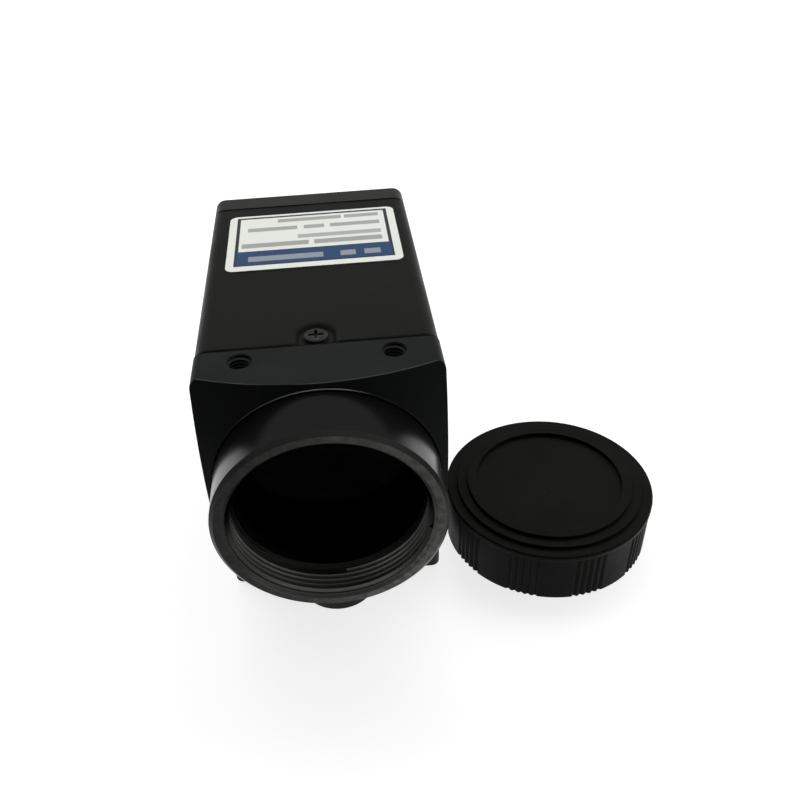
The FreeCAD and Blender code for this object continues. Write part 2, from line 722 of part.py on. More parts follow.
# ---- cover, rear cap and label --------------------------------------------------------------------
def housing_cover():
    """Square tube over the boards, pressed in round its two screws at the front edge."""
    body = new_body("housing_cover")
    pad(body, square(new_sketch(body, "Y", "cover_start"), "cover_half"), "cover_length")
    round_edges(body, "cover_radius", runs_along("y"))
    pocket(body, square(new_sketch(body, "Y", "cover_start"), "inner_half"), "cover_length", towards=1)
    round_edges(body, "inner_radius", runs_along("y", x=value("inner_half"), z=value("inner_half")))
    swelling = tongue(new_sketch(body, "Z", "bulge_level"), "cover_screw_y", "bulge_half", "cover_start")
    bulge = pad(body, swelling, "cover_wall")
    floor = tongue(new_sketch(body, "Z", "dimple_floor"), "cover_screw_y", "dimple_width / 2",
                   "cover_start - 2 * dimple_depth")
    dimple = pocket(body, floor, "2 * dimple_depth", towards=1, slope="dimple_slope")
    hole = circle(new_sketch(body, "Z", "dimple_floor"), "0", "cover_screw_y", "through_radius")
    mirror(body, [bulge, dimple, pocket(body, hole, "cover_wall", towards=-1)], "XY_Plane")
    top, front = value("cover_half"), value("cover_start")
    reach = value("cover_screw_y + 2 * dimple_width")
    round_edges(body, "dimple_soft", lambda edge: (
        abs(abs(edge.BoundBox.Center.z) - top) < 1e-4 and edge.BoundBox.ZLength < 1e-4
        and edge.BoundBox.YLength > 0.1 and edge.BoundBox.YMax < reach
        and edge.BoundBox.XLength < value("2 * dimple_width") and edge.BoundBox.YMin > front - 1e-4))
    return body


def rear_seal():
    """Thin gasket between the cover and the rear cap, set back from the outside."""
    body = new_body("rear_seal")
    outside = "cover_half - seal_inset"
    ring = square(new_sketch(body, "Y", "cover_end"), outside)
    square(ring, "inner_half")
    pad(body, ring, "seal_thickness")
    round_edges(body, "cover_radius - seal_inset", runs_along("y", x=value(outside), z=value(outside)))
    round_edges(body, "inner_radius", runs_along("y", x=value("inner_half"), z=value("inner_half")))
    return body


def rear_cap():
    """Square cap with a softened rim, a spigot into the cover, sunk screws and the cable hole."""
    body = new_body("rear_cap")
    pad(body, square(new_sketch(body, "Y", "rear_start"), "cover_half"), "rear_plate")
    round_edges(body, "cover_radius", runs_along("y"))
    round_edges(body, "rear_rim_radius", lies_at("y", value("rear_end")))
    spigot = square(new_sketch(body, "Y", "rear_start"), "spigot_half")
    pad(body, spigot, "seal_thickness + rear_spigot_reach", towards=-1)
    round_edges(body, "inner_radius", runs_along("y", x=value("spigot_half"), z=value("spigot_half")))
    hollow = square(new_sketch(body, "Y", "web_front"), "spigot_half - rear_spigot_wall")
    pocket(body, hollow, "web_front - cover_end + rear_spigot_reach", towards=-1)
    cable = circle(new_sketch(body, "Y", "rear_end"), "0", "0", "shell_hole")
    pocket(body, cable, "rear_web", towards=-1)
    sink = circle(new_sketch(body, "Y", "rear_end"), "post_at", "post_at", "rear_screw_head / 2 + head_fit")
    hole = circle(new_sketch(body, "Y", "rear_end"), "post_at", "post_at", "through_radius")
    repeat_round(body, [pocket(body, sink, "rear_screw_sink", towards=-1),
                        pocket(body, hole, "rear_web", towards=-1)], "Y_Axis", POSTS)
    return body


def label():
    body = new_body("label")
    plate = rectangle(new_sketch(body, "Z", "cover_half"), "label_shift - label_width / 2",
                      "label_shift + label_width / 2", "cover_end - label_inset - label_length",
                      "cover_end - label_inset")
    pad(body, plate, "label_thickness")
    round_edges(body, "label_radius", runs_along("z"))
    return body


# ---- cable receptacle -----------------------------------------------------------------------------
def connector_gasket():
    body = new_body("connector_gasket")
    ring = circle(new_sketch(body, "Y", "rear_end"), "0", "0", "shell_hole")
    circle(ring, "0", "0", "shell_hole + gasket_width")
    pad(body, ring, "gasket_thickness")
    return body


def connector_shell():
    """Flanged round shell with a key inside its socket."""
    body = new_body("connector_shell")
    turned(body, "Y", "0", "0", [
        ("insert_end", "socket_radius"), ("insert_end", "shell_radius"),
        ("gasket_end", "shell_radius"), ("gasket_end", "shell_flange_diameter / 2"),
        ("socket_mouth - shell_flange_edge", "shell_flange_diameter / 2"),
        ("socket_mouth", "shell_flange_diameter / 2 - shell_flange_edge"),
        ("socket_mouth", "socket_radius")])
    key = rectangle(new_sketch(body, "Y", "socket_floor"), "-socket_key / 2", "socket_key / 2",
                    "socket_radius - socket_key", "shell_radius - shell_fit")
    pad(body, key, "socket_depth - shell_flange_edge")
    return body


def connector_insert():
    """Insulating disc that carries the pins."""
    body = new_body("connector_insert")
    disc = circle(new_sketch(body, "Y", "insert_end"), "0", "0", "socket_radius - insert_fit")
    pad(body, disc, "insert_thickness")
    bore = circle(new_sketch(body, "Y", "insert_end"), "pin_circle / 2", "0", "pin_diameter / 2 + insert_fit")
    repeat_round(body, [pocket(body, bore, "insert_thickness", towards=1)], "Y_Axis", PINS)
    return body


def connector_pins():
    body = new_body("connector_pins")
    pin_end = circle(new_sketch(body, "Y", "insert_end - solder_board_gap"), "pin_circle / 2", "0",
                     "pin_diameter / 2")
    repeat_round(body, [pad(body, pin_end, "solder_board_gap + insert_thickness + pin_length")],
                 "Y_Axis", PINS)
    return body


def connector_nut():
    body = new_body("connector_nut")
    nut = hexagon(new_sketch(body, "Y", "web_front"), "0", "0", "nut_across_flats")
    circle(nut, "0", "0", "shell_hole")
    pad(body, nut, "nut_thickness", towards=-1)
    return body


def connector_board():
    """Round board that the pins end on."""
    disc = doc.addObject("Part::Cylinder", "connector_board")
    disc.Label = "connector_board"
    disc.setExpression("Radius", linked("solder_board_diameter / 2"))
    disc.setExpression("Height", linked("board_thickness"))
    disc.Placement.Rotation = FreeCAD.Rotation(FreeCAD.Vector(1, 0, 0), -90)
    disc.setExpression("Placement.Base.y", linked("solder_board_y"))
    return disc


def connector_flex():
    """Bent ribbon from the round board to the board in front of it."""
    body = new_body("connector_flex")
    front, back, thick = "rear_post_y", "solder_board_y", "flex_thickness"
    ribbon = outline(new_sketch(body, "X", "-flex_width / 2"), [
        (front, "-flex_drop"), (back, "-flex_drop"), (back, "-flex_drop - flex_tail"),
        (back + " - " + thick, "-flex_drop - flex_tail"), (back + " - " + thick, "-flex_drop - " + thick),
        (front + " + " + thick, "-flex_drop - " + thick), (front + " + " + thick, "-flex_drop - flex_tail"),
        (front, "-flex_drop - flex_tail")])
    pad(body, ribbon, "flex_width")
    return body


# ---- mounting base --------------------------------------------------------------------------------
def mounting_base():
    """Moulded base with two lugs under the block, a round boss for the tripod thread and a relief."""
    body = new_body("mounting_base")
    plan = rectangle(new_sketch(body, "Z", "floor_level"), "-half_body", "half_body", "base_front",
                     "base_front + base_length")
    pad(body, plan, "base_height")
    round_edges(body, "base_radius", runs_along("z"))
    pad(body, circle(new_sketch(body, "Z", "floor_level"), "0", "boss_setback", "boss_diameter / 2"),
        "base_height")
    bevel_edges(body, "base_edge", lies_at("z", value("floor_level")))
    bridge = rectangle(new_sketch(body, "Z", "lug_bottom"), "-side_hole_x", "side_hole_x",
                       "side_hole_y - lug_radius", "base_front + base_land")
    pad(body, bridge, "lug_thickness")
    for sign in ("-", ""):
        end = circle(new_sketch(body, "Z", "lug_bottom"), sign + "side_hole_x", "side_hole_y", "lug_radius")
        pad(body, end, "lug_thickness")
    sunk, holes = new_sketch(body, "Z", "floor_level"), new_sketch(body, "Z", "lug_bottom")
    for sign in ("-", ""):
        circle(sunk, sign + "side_hole_x", "side_hole_y", "base_screw_head / 2 + head_fit")
        circle(holes, sign + "side_hole_x", "side_hole_y", "side_hole_radius + through_fit")
    pocket(body, sunk, "base_height - lug_thickness", towards=1)
    pocket(body, holes, "lug_thickness", towards=1)
    relief = rectangle(new_sketch(body, "Z", "floor_level"), "base_land - half_body",
                       "half_body - base_land", "base_front + base_land",
                       "base_front + base_length - base_land")
    pocket(body, relief, "base_relief", towards=1)
    bush = circle(new_sketch(body, "Z", "floor_level"), "0", "boss_setback",
                  "tripod_insert_diameter / 2 + insert_fit")
    pocket(body, bush, "tripod_depth", towards=1)
    return body


def tripod_insert():
    body = new_body("tripod_insert")
    top, edge = "floor_level + tripod_depth", "floor_level + tripod_mouth"
    turned(body, "Z", "0", "boss_setback", [
        ("floor_level", "tripod_diameter / 2 + tripod_mouth"), ("floor_level", "tripod_insert_diameter / 2"),
        (top, "tripod_insert_diameter / 2"), (top, "tripod_diameter / 2"), (edge, "tripod_diameter / 2")])
    return body


# ---- dust cap -------------------------------------------------------------------------------------
def dust_cap():
    """Moulded cap with two steps, a recess on top and groups of finger grooves; stands on its rim."""
    body = new_body("dust_cap")
    body.setExpression("Placement.Base.x", linked("cap_x"))
    body.setExpression("Placement.Base.y", linked("cap_y"))
    body.setExpression("Placement.Base.z", linked("floor_level"))
    floor, under = "cap_top - cap_recess_depth", "cap_rim_height - cap_lid"
    step = "cap_rim_height + cap_step_height"
    turned(body, "Z", "0", "0", [
        ("0", "cap_bore"), ("0", "grip_radius"), ("lip_start", "grip_radius"), ("lip_start", "cap_radius"),
        ("cap_rim_height - cap_edge", "cap_radius"), ("cap_rim_height", "cap_radius - cap_edge"),
        ("cap_rim_height", "cap_first_step / 2"), (step, "cap_first_step / 2"),
        (step, "cap_second_step / 2"), ("cap_top", "cap_second_step / 2"), ("cap_top", "cap_recess / 2"),
        (floor, "cap_recess / 2"), (floor, "0"), (under, "0"), (under, "cap_bore")])
    grooves = new_sketch(body, "Z")
    root, brim = "(grip_radius - grip_groove_depth)", "(grip_radius + grip_groove_depth)"
    for place in range(GRIP_GROOVES):
        angle = "(grip_middle + %d * grip_groove_pitch)" % (place - GRIP_GROOVES // 2)
        outline(grooves, [
            ("%s * cos(%s) + %d * grip_groove_width * sin(%s)" % (reach, angle, -side, angle),
             "%s * sin(%s) - %d * grip_groove_width * cos(%s)" % (reach, angle, -side, angle))
            for reach, side in ((root, 0), (brim, -1), (brim, 1))])
    repeat_round(body, [pocket(body, grooves, "lip_start", towards=1)], "Z_Axis", GRIP_GROUPS)
    return body


# ---- build, check and write -----------------------------------------------------------------------
made = [
    lens_mount_ring(), filter_glass(), filter_retainer(), front_block(), sensor_spacers(),
    board("sensor_board", "sensor_board_y", "sensor_board_size"), image_sensor(),
    slab("sensor_window", "sensor_front", "sensor_window_width", "sensor_window_thickness"),
    posts("front_standoffs", "front_post_y", "front_post_length",
          "spacer_length + board_thickness + post_stud", "post_bore_depth"),
    board("main_board", "main_board_y", "board_size"),
    slab("processor_chip", "mid_post_y", "chip_width", "chip_thickness"), board_headers(),
    posts("mid_standoffs", "mid_post_y", "mid_post_length", "board_thickness + post_stud", "post_bore_depth"),
    board("interface_board", "interface_board_y", "board_size"), capacitors(),
    posts("rear_posts", "rear_post_y", "(web_front - rear_post_y)", "board_thickness + post_stud",
          "post_bore_depth"),
    connector_board(), connector_flex(), housing_cover(), cover_screws(), label(), rear_seal(), rear_cap(),
    rear_screws(), connector_gasket(), connector_shell(), connector_insert(), connector_pins(),
    connector_nut(), mounting_base(), tripod_insert(), base_screws(), dust_cap(),
]
doc.recompute()

for item in doc.Objects:
    if "Invalid" in item.State or "Error" in item.State:
        raise RuntimeError("%s is in state %s" % (item.Label, item.State))
for item in made:
    if item.Shape.isNull() or not item.Shape.isValid() or item.Shape.Volume <= 0:
        raise RuntimeError("%s has no sound shape" % item.Label)

os.makedirs("parts", exist_ok=True)
for item in made:
    item.Shape.exportStep(os.path.join("parts", item.Label + ".step"))
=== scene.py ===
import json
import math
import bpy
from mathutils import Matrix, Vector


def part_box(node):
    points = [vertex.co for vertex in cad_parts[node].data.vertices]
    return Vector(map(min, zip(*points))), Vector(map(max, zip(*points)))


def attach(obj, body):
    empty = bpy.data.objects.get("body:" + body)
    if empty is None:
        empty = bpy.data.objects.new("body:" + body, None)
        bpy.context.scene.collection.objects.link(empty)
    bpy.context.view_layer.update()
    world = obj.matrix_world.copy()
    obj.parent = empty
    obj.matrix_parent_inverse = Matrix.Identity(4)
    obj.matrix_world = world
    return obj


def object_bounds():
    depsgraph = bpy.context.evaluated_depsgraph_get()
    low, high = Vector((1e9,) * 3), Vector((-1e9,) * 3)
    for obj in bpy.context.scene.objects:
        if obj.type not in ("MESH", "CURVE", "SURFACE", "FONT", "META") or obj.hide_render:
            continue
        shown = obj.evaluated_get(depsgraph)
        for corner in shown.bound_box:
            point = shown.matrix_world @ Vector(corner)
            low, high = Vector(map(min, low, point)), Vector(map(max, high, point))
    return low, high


bl_info = {
    "name": "Machine Vision Camera",
    "version": (1, 0, 0),
    "blender": (4, 5, 0),
    "location": "3D View > Sidebar > Vision Camera",
    "description": "Finishes a packed machine vision camera, its mounting base and its dust cap",
    "category": "Object",
}

import bmesh
import bpy
from bpy.props import FloatProperty, FloatVectorProperty, IntProperty, PointerProperty
from mathutils import Matrix, Vector

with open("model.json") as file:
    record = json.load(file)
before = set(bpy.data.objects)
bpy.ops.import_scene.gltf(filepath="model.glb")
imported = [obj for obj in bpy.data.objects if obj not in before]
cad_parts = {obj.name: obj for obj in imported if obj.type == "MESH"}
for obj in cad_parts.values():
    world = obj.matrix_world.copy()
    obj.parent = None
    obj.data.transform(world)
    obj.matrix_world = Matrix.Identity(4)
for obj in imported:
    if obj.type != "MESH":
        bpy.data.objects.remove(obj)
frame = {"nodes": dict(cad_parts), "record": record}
CAD_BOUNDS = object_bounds()
BODY = "root"
MM = 0.001

MOUNTS = {mount["name"]: mount for mount in frame["record"]["mounts"]}

# Samples that a bevel shader node takes to round an edge.
EDGE_SAMPLES = 4

# Finishes: how far the roughness swings below and above its mean, and the depth of the relief.
COAT_SWING, COAT_RELIEF = (0.05, 0.06), 0.02 * MM
METAL_SWING, METAL_RELIEF = (0.06, 0.08), 0.01 * MM
# Metal: its darker and lighter tone, and the scale of its marks round a turned piece.
METAL_DARK, METAL_LIGHT, ROUND_SCALE = 0.8, 1.15, 0.06

# Threads: the bend in degrees up to which their faces are smooth, the turns between a bore's mouth
# and the ridge's start, and the turns that stay plain at both ends together.
THREAD_BEND = 40.0
LENS_LEAD, LENS_PLAIN = 0.72, 1.5
TRIPOD_LEAD, TRIPOD_PLAIN = 0.8, 1.1

# Where wear, painted light and gloss change along the lens mount ring: the coordinate, where the change
# begins and ends in millimetres from the flange or the lens axis, and the share before and after it.
# The changes across the face and the thread, at the bottom of the mouth and at the top of the rim are
# painted light and shade: lighter where light falls on the ring, darker where it doesn't.
RING_CHANGES = {
    "front_face": ("Y", 0.08, 0.01, 0.0, 1.0),
    "face_light_left_to_right": ("X", -14.0, 12.0, 0.45, 1.15),
    "face_light_bottom_to_top": ("Z", -14.0, 2.0, 1.35, 0.95),
    "lit_lower_half": ("Z", 3.0, -4.0, 0.0, 1.0),
    "less_light_at_right": ("X", 5.0, 12.0, 1.0, 0.32),
    "less_light_at_left": ("X", -5.0, -11.5, 1.0, 0.45),
    "more_inward": ("Y", 0.8, 3.0, 0.55, 1.0),
    "behind_thread": ("Y", 5.0, 5.35, 1.0, 0.12),
    "mouth_lit_at_bottom": ("Z", -2.0, -11.0, 0.0, 1.0),
    "rim_lit_at_top": ("Z", 6.0, 13.0, 0.0, 1.0),
    "top_of_bore": ("Z", -5.0, 2.0, 0.0, 1.0),
    "duller_at_right": ("X", 7.0, 12.0, 1.0, 0.7),
}

# Stretches of two edges of the front block that get a painted highlight, across the camera in
# millimetres: where each begins and ends, and the width over which it fades. The rest of the land's
# painted line keeps a small share.
LAND_LIT, LAND_UNLIT = (-7.0, 2.0, 5.0), 0.03
TOP_EDGE_LIT = ((-15.0, -9.0, 4.0), (0.0, 13.0, 4.0))

# Plain bars on the label, from the front: middle and half depth of a row, strength, and where its
# bars begin and end, all as shares of the framed field.
LABEL_ROWS = (
    (0.125, 0.048, 0.32, ((0.089, 0.557), (0.665, 0.760), (0.814, 0.916))),
    (0.392, 0.044, 0.62, ((0.042, 0.470), (0.505, 0.941))),
    (0.527, 0.038, 0.55, ((0.401, 0.941),)),
    (0.720, 0.038, 0.60, ((0.074, 0.399), (0.441, 0.576), (0.614, 0.941))),
    (0.890, 0.036, 0.60, ((0.270, 0.692), (0.713, 0.941))),
)

# Soft lamps: name, place from the middle of the object and size in metres, and power in watts.
LAMPS = (
    ("overhead_soft", (0.05, 0.38, 0.50), (1.8, 0.5), 9.0),
    ("left_soft", (-0.50, -0.05, 0.12), (0.25, 0.25), 0.03),
    ("right_soft", (0.50, -0.08, 0.14), (0.25, 0.25), 0.50),
)
# The floor's radius in metres, and the gap that keeps it just below the object.
FLOOR_RADIUS = 3.0
FLOOR_GAP = 0.02 * MM
# The surroundings turn from white to the overhead tone between these two heights of a direction,
# which is 0 at the horizon and 1 overhead.
HORIZON_LOW, HORIZON_HIGH = 0.02, 0.14


# ---- sizes and colours a user would change --------------------------------------------------------
def length(name, default, description):
    return FloatProperty(name=name, description=description, default=default, min=0.0,
                         subtype="DISTANCE", unit="LENGTH", precision=5)


def colour(name, default, description):
    return FloatVectorProperty(name=name, description=description, default=default, size=3,
                               min=0.0, max=1.0, subtype="COLOR")


def share(name, default, description):
    return FloatProperty(name=name, description=description, default=default, min=0.0, max=1.0,
                         subtype="FACTOR")


def angle(name, degrees, description):
    return FloatProperty(name=name, description=description, default=math.radians(degrees),
                         subtype="ANGLE")


class ThreadSizes(bpy.types.PropertyGroup):
    lens_pitch: length("Lens thread pitch", 0.794 * MM, "Distance between turns of the lens thread")
    lens_height: length("Lens thread height", 0.43 * MM,
                        "How far the lens thread stands in from the wall")
    lens_side: angle("Lens thread start", 100.0, "Where it begins, turned to the right from the top")
    screw_pitch: length("M3 pitch", 0.5 * MM, "Distance between turns in the M3 holes")
    screw_height: length("M3 height", 0.27 * MM, "How far the M3 thread stands in from the wall")
    screw_start: length("M3 start", 0.35 * MM, "Depth at which the M3 thread begins")
    screw_run: length("M3 run", 3.4 * MM, "Depth over which the M3 thread runs")
    tripod_pitch: length("Tripod pitch", 1.27 * MM, "Distance between turns of the tripod thread")
    tripod_height: length("Tripod height", 0.6 * MM,
                          "How far the tripod thread stands in from the wall")
    steps: IntProperty(name="Steps per turn", description="Faces round each turn of a thread",
                       default=72, min=12, max=180)


class RingLooks(bpy.types.PropertyGroup):
    barrel: colour("Anodised black", (0.0040, 0.0044, 0.0040), "Lens mount ring and filter retainer")
    rim_width: length("Rim width", 0.5 * MM, "Outside of the ring to the inner edge of its rim bevel")
    face_width: length("Face width", 1.4 * MM, "Outside of the ring to the edge of its mouth")
    bevel_depth: length("Bevel depth", 0.5 * MM, "Flange to where the rim and mouth bevels end")
    face_wear: share("Face wear", 0.50, "Bare metal on the front face and in the mouth")
    # Painted highlight in the bare metal colour, where the top of the rim bevel faces the light.
    rim_light: share("Rim wear", 0.32, "Bare metal on the upper part of the rim bevel")
    edge_wear: share("Edge wear", 0.25, "Bare metal on the sharp edges")
    # Painted light in the bare metal and highlight colours, on the lower thread and the bottom of the
    # mouth.
    lower_bore_light: share("Thread wear", 0.95, "Bare metal on the lower part of the thread")
    mouth_light: share("Mouth wear", 0.68, "Wear at the bottom of the mouth, against the thread's")
    thread_highlight: share("Thread glint", 0.4, "Freshly rubbed metal on the thread")
    metallic: share("Metallic", 0.8, "How metallic the bare metal is")
    gloss: share("Gloss", 0.34, "Specular level of the black outside")
    matt: share("Matt", 0.12, "Specular level of the bevels, the front face and the bore")
    rough_black: share("Black roughness", 0.22, "Roughness of the black")
    rough_bare: share("Bare roughness", 0.42, "Roughness of the bare metal")


class PaintLooks(bpy.types.PropertyGroup):
    block: colour("Block paint", (0.0165, 0.0195, 0.0180), "Satin paint on the front block")
    cover: colour("Cover paint", (0.0090, 0.0093, 0.0079), "Satin paint on the cover")
    rear: colour("Rear cap paint", (0.0268, 0.0268, 0.0246), "Satin paint on the rear cap")
    cap: colour("Cap plastic", (0.0086, 0.0091, 0.0078), "Moulded plastic of the dust cap")
    base: colour("Base plastic", (0.0075, 0.0078, 0.0076), "Moulded plastic of the mounting base")
    bare: colour("Bare metal", (0.20, 0.20, 0.19), "Metal where a coating has worn off")
    # A painted highlight colour: it lightens the lens thread and draws the bright line on the block's
    # land.
    painted_highlight: colour("Glint", (0.55, 0.55, 0.52), "Freshly rubbed metal")
    # Also the colour of the painted highlight along the dust cap's lip.
    dust: colour("Dust", (0.30, 0.29, 0.27), "Dust and lint")
    edge: length("Edge softness", 0.12 * MM, "Radius at which hard edges catch the light")
    dome_centre: length("Dome centre", 46.9 * MM, "Lens flange to the middle of the dome's sphere")
    dome_start: length("Dome start", 5.2 * MM, "Lens flange to where the dome would cross the axis")
    land: length("Land", 0.20 * MM, "Outside of the ring to the bright line on the block's land")
    # A painted highlight in the bare metal colour, where the curved top edge catches the light.
    top_edge_highlight: share("Top edge", 0.35, "Bare metal along the block's curved top edge")
    # Painted shade: it widens the dark line of a joint's gap, and lines a dimple's steep walls.
    painted_shade: colour("Joint grime", (0.0012, 0.0012, 0.0010), "Dark line that settles along a joint")
    joint: length("Joint line", 0.30 * MM, "How far the dark line reaches from a joint")
    block_joint: length("Block joint line", 0.41 * MM, "How far before the cover the block darkens")
    dimple: length("Dimple line", 2.40 * MM, "Middle of a cover screw to its dimple's dark line")
    # Strength of the painted shade along a dimple's walls.
    dimple_shade: share("Dimple grime", 0.8, "Strength of the dimple's dark line")
    lip: length("Lip", 1.8 * MM, "Top of the dust cap to the lower edge of its lip")
    # A painted highlight in the dust colour, along the lip's lower edge where it faces the front.
    lip_highlight: share("Lip light", 0.20, "Dust along the lip's lower edge, at the front")
    speck: FloatVectorProperty(name="Speck", description="Where lint sits on the dust cap", size=3,
                               default=(30.89 * MM, 6.08 * MM, -18.72 * MM), subtype="TRANSLATION")


class FittingLooks(bpy.types.PropertyGroup):
    board: colour("Boards", (0.012, 0.075, 0.030), "Solder mask of the boards")
    brass: colour("Brass", (0.62, 0.46, 0.20), "Posts and the tripod bush")
    steel: colour("Steel", (0.55, 0.55, 0.56), "Spacers of the sensor board")
    can: colour("Cans", (0.62, 0.62, 0.63), "Drawn cans of the capacitors")
    ceramic: colour("Ceramic", (0.05, 0.042, 0.055), "Package of the image sensor")
    chip: colour("Moulded black", (0.012, 0.012, 0.012), "Processor chip and plug strips")
    film: colour("Amber film", (0.42, 0.20, 0.03), "Flex to the receptacle")
    window_dark: colour("Window dark", (0.10, 0.13, 0.20), "Darker tone of the sensor's window")
    window_light: colour("Window light", (0.14, 0.20, 0.22), "Lighter tone of the sensor's window")
    filter: colour("Filter", (0.03, 0.035, 0.034), "Tint of the filter glass")
    nickel: colour("Nickel", (0.50, 0.49, 0.47), "Plated shell and nut of the receptacle")
    gold: colour("Gold", (0.80, 0.55, 0.20), "Plated pins of the receptacle")
    insert: colour("Insert", (0.012, 0.012, 0.013), "Plastic that holds the pins")
    gasket: colour("Gasket", (0.008, 0.008, 0.008), "Rubber under the receptacle's flange")
    seal: colour("Seal", (0.002, 0.002, 0.002), "Rubber between the cover and the rear cap")
    screw: colour("Small screws", (0.019, 0.019, 0.018), "Blackened steel")
    base_screw: colour("Base screws", (0.12, 0.12, 0.118), "Steel of the mounting base's screws")
    cut: colour("Cut thread", (0.095, 0.10, 0.095), "Metal of the threads in the block's top holes")


class LabelLooks(bpy.types.PropertyGroup):
    plate: colour("Plate", (0.86, 0.88, 0.82), "Pale film of the label")
    line: colour("Line", (0.035, 0.037, 0.042), "Frame line")
    band: colour("Band", (0.026, 0.064, 0.155), "Coloured band across the label")
    mark: colour("Marks", (0.10, 0.105, 0.11), "Plain bars on the label")
    margin_side: length("Side margin", 1.15 * MM, "Plate's side edge to the frame line")
    margin_front: length("Front margin", 1.4 * MM, "Plate's front edge to the frame line")
    margin_rear: length("Rear margin", 0.6 * MM, "Plate's rear edge to the frame line")
    line_width: length("Line width", 0.52 * MM, "Width of the frame line")
    band_depth: length("Band depth", 4.5 * MM, "Depth of the coloured band")


class StageLooks(bpy.types.PropertyGroup):
    place: FloatVectorProperty(name="Camera place", description="Where the view is taken from", size=3,
                               default=(2.43 * MM, -73.43 * MM, 73.60 * MM), subtype="TRANSLATION")
    heading: angle("Heading", 2.255, "Turn of the view to the right")
    dip: angle("Dip", 39.284, "How far the view looks down")
    roll: angle("Roll", -3.262, "Turn of the view about its own axis")
    lens: FloatProperty(name="Lens", description="Focal length in millimetres", default=38.486, min=1.0)
    shift: FloatVectorProperty(name="Shift", description="Sideways and upward shift", size=2,
                               default=(0.0380, 0.0464))
    floor: colour("Floor", (0.40, 0.40, 0.40), "Pale floor")
    bounce: colour("Floor bounce", (0.012, 0.012, 0.012), "What the floor gives back to the object")
    glow: FloatProperty(name="Floor glow", description="Light of its own that keeps the floor white",
                        default=0.80, min=0.0)
    sky: share("Overhead", 0.24, "Brightness of the surroundings above")
    fill: share("Fill", 0.015, "Light that the surroundings give to matt surfaces")


def settings(name):
    return getattr(bpy.context.scene, "vision_" + name)


# ---- shader building ------------------------------------------------------------------------------
def node(tree, kind, options=None, **sockets):
    """Add a shader node; a socket given another node's output is linked to it."""
    made = tree.nodes.new(kind)
    for name, value in (options or {}).items():
        setattr(made, name, value)
    for name, value in sockets.items():
        put(tree, made.inputs[name.replace("_", " ")], value)
    return made


def put(tree, socket, value):
    """Link a socket to an output, or set its value; a colour gets an alpha of 1."""
    if isinstance(value, bpy.types.NodeSocket):
        tree.links.new(value, socket)
    elif socket.type == "RGBA" and len(value) == 3:
        socket.default_value = (*value, 1.0)
    else:
        socket.default_value = value


def maths(tree, operation, first, second=0.0, clamp=False):
    made = tree.nodes.new("ShaderNodeMath")
    made.operation = operation
    made.use_clamp = clamp
    put(tree, made.inputs[0], first)
    put(tree, made.inputs[1], second)
    return made.outputs[0]


def product(tree, first, *others):
    for other in others:
        first = maths(tree, "MULTIPLY", first, other)
    return first


def highest(tree, first, *others):
    for other in others:
        first = maths(tree, "MAXIMUM", first, other)
    return first


def remap(tree, value, low, high, to_low=0.0, to_high=1.0):
    """A smooth change from one value to another as a third goes from low to high."""
    made = node(tree, "ShaderNodeMapRange", {"interpolation_type": "SMOOTHSTEP"}, Value=value,
                From_Min=low, From_Max=high, To_Min=to_low, To_Max=to_high)
    return made.outputs["Result"]


def within(tree, value, low, high, soft):
    """1 between two values, falling to 0 over a soft width outside them."""
    rise = remap(tree, value, low - soft, low)
    fall = remap(tree, value, high, high + soft, 1.0, 0.0)
    return product(tree, rise, fall)


def lit(tree, across, stretch):
    """1 along a stretch whose start, end and fading width are given in millimetres."""
    return within(tree, across, *(figure * MM for figure in stretch))


def blend(tree, mask, first, second):
    """A colour between two, by a mask."""
    made = tree.nodes.new("ShaderNodeMix")
    made.data_type = "RGBA"
    put(tree, made.inputs["Factor"], mask)
    put(tree, made.inputs[6], first)
    put(tree, made.inputs[7], second)
    return made.outputs[2]


def coordinates(tree, place):
    return node(tree, "ShaderNodeSeparateXYZ", Vector=place).outputs


def flat_length(tree, **parts):
    """The length of a vector that has only the given coordinates."""
    made = node(tree, "ShaderNodeVectorMath", {"operation": "LENGTH"})
    tree.links.new(node(tree, "ShaderNodeCombineXYZ", **parts).outputs[0], made.inputs[0])
    return made.outputs["Value"]


def distance(tree, place, point):
    made = node(tree, "ShaderNodeVectorMath", {"operation": "DISTANCE"})
    tree.links.new(place, made.inputs[0])
    made.inputs[1].default_value = point
    return made.outputs["Value"]


def across_axis(tree, place):
    """The three coordinates and the distance from the lens axis."""
    axes = coordinates(tree, place)
    return axes, flat_length(tree, X=axes["X"], Z=axes["Z"])


def new_group(name, inputs, outputs):
    """An empty shader node group with named inputs (a default of None is a vector) and outputs."""
    tree = bpy.data.node_groups.new(name, "ShaderNodeTree")
    for title, default in inputs.items():
        kind = "NodeSocketVector" if default is None else "NodeSocketFloat"
        socket = tree.interface.new_socket(title, in_out="INPUT", socket_type=kind)
        if default is not None:
            socket.default_value = default
    for title in outputs:
        tree.interface.new_socket(title, in_out="OUTPUT", socket_type="NodeSocketFloat")
    return tree, tree.nodes.new("NodeGroupInput").outputs, tree.nodes.new("NodeGroupOutput").inputs


def grain_group():
    """Fine relief of a moulded or painted surface, with a slow change of tone."""
    tree, given, result = new_group("surface_grain", {"Place": None, "Grain": 4000.0, "Tone": 120.0},
                                    ("Height", "Tone"))
    fine = node(tree, "ShaderNodeTexNoise", Vector=given["Place"], Scale=given["Grain"], Detail=3.0,
                Roughness=0.6)
    slow = node(tree, "ShaderNodeTexNoise", Vector=given["Place"], Scale=given["Tone"], Detail=4.0,
                Roughness=0.55)
    tree.links.new(fine.outputs[0], result["Height"])
    tree.links.new(remap(tree, slow.outputs[0], 0.3, 0.7), result["Tone"])
    return tree


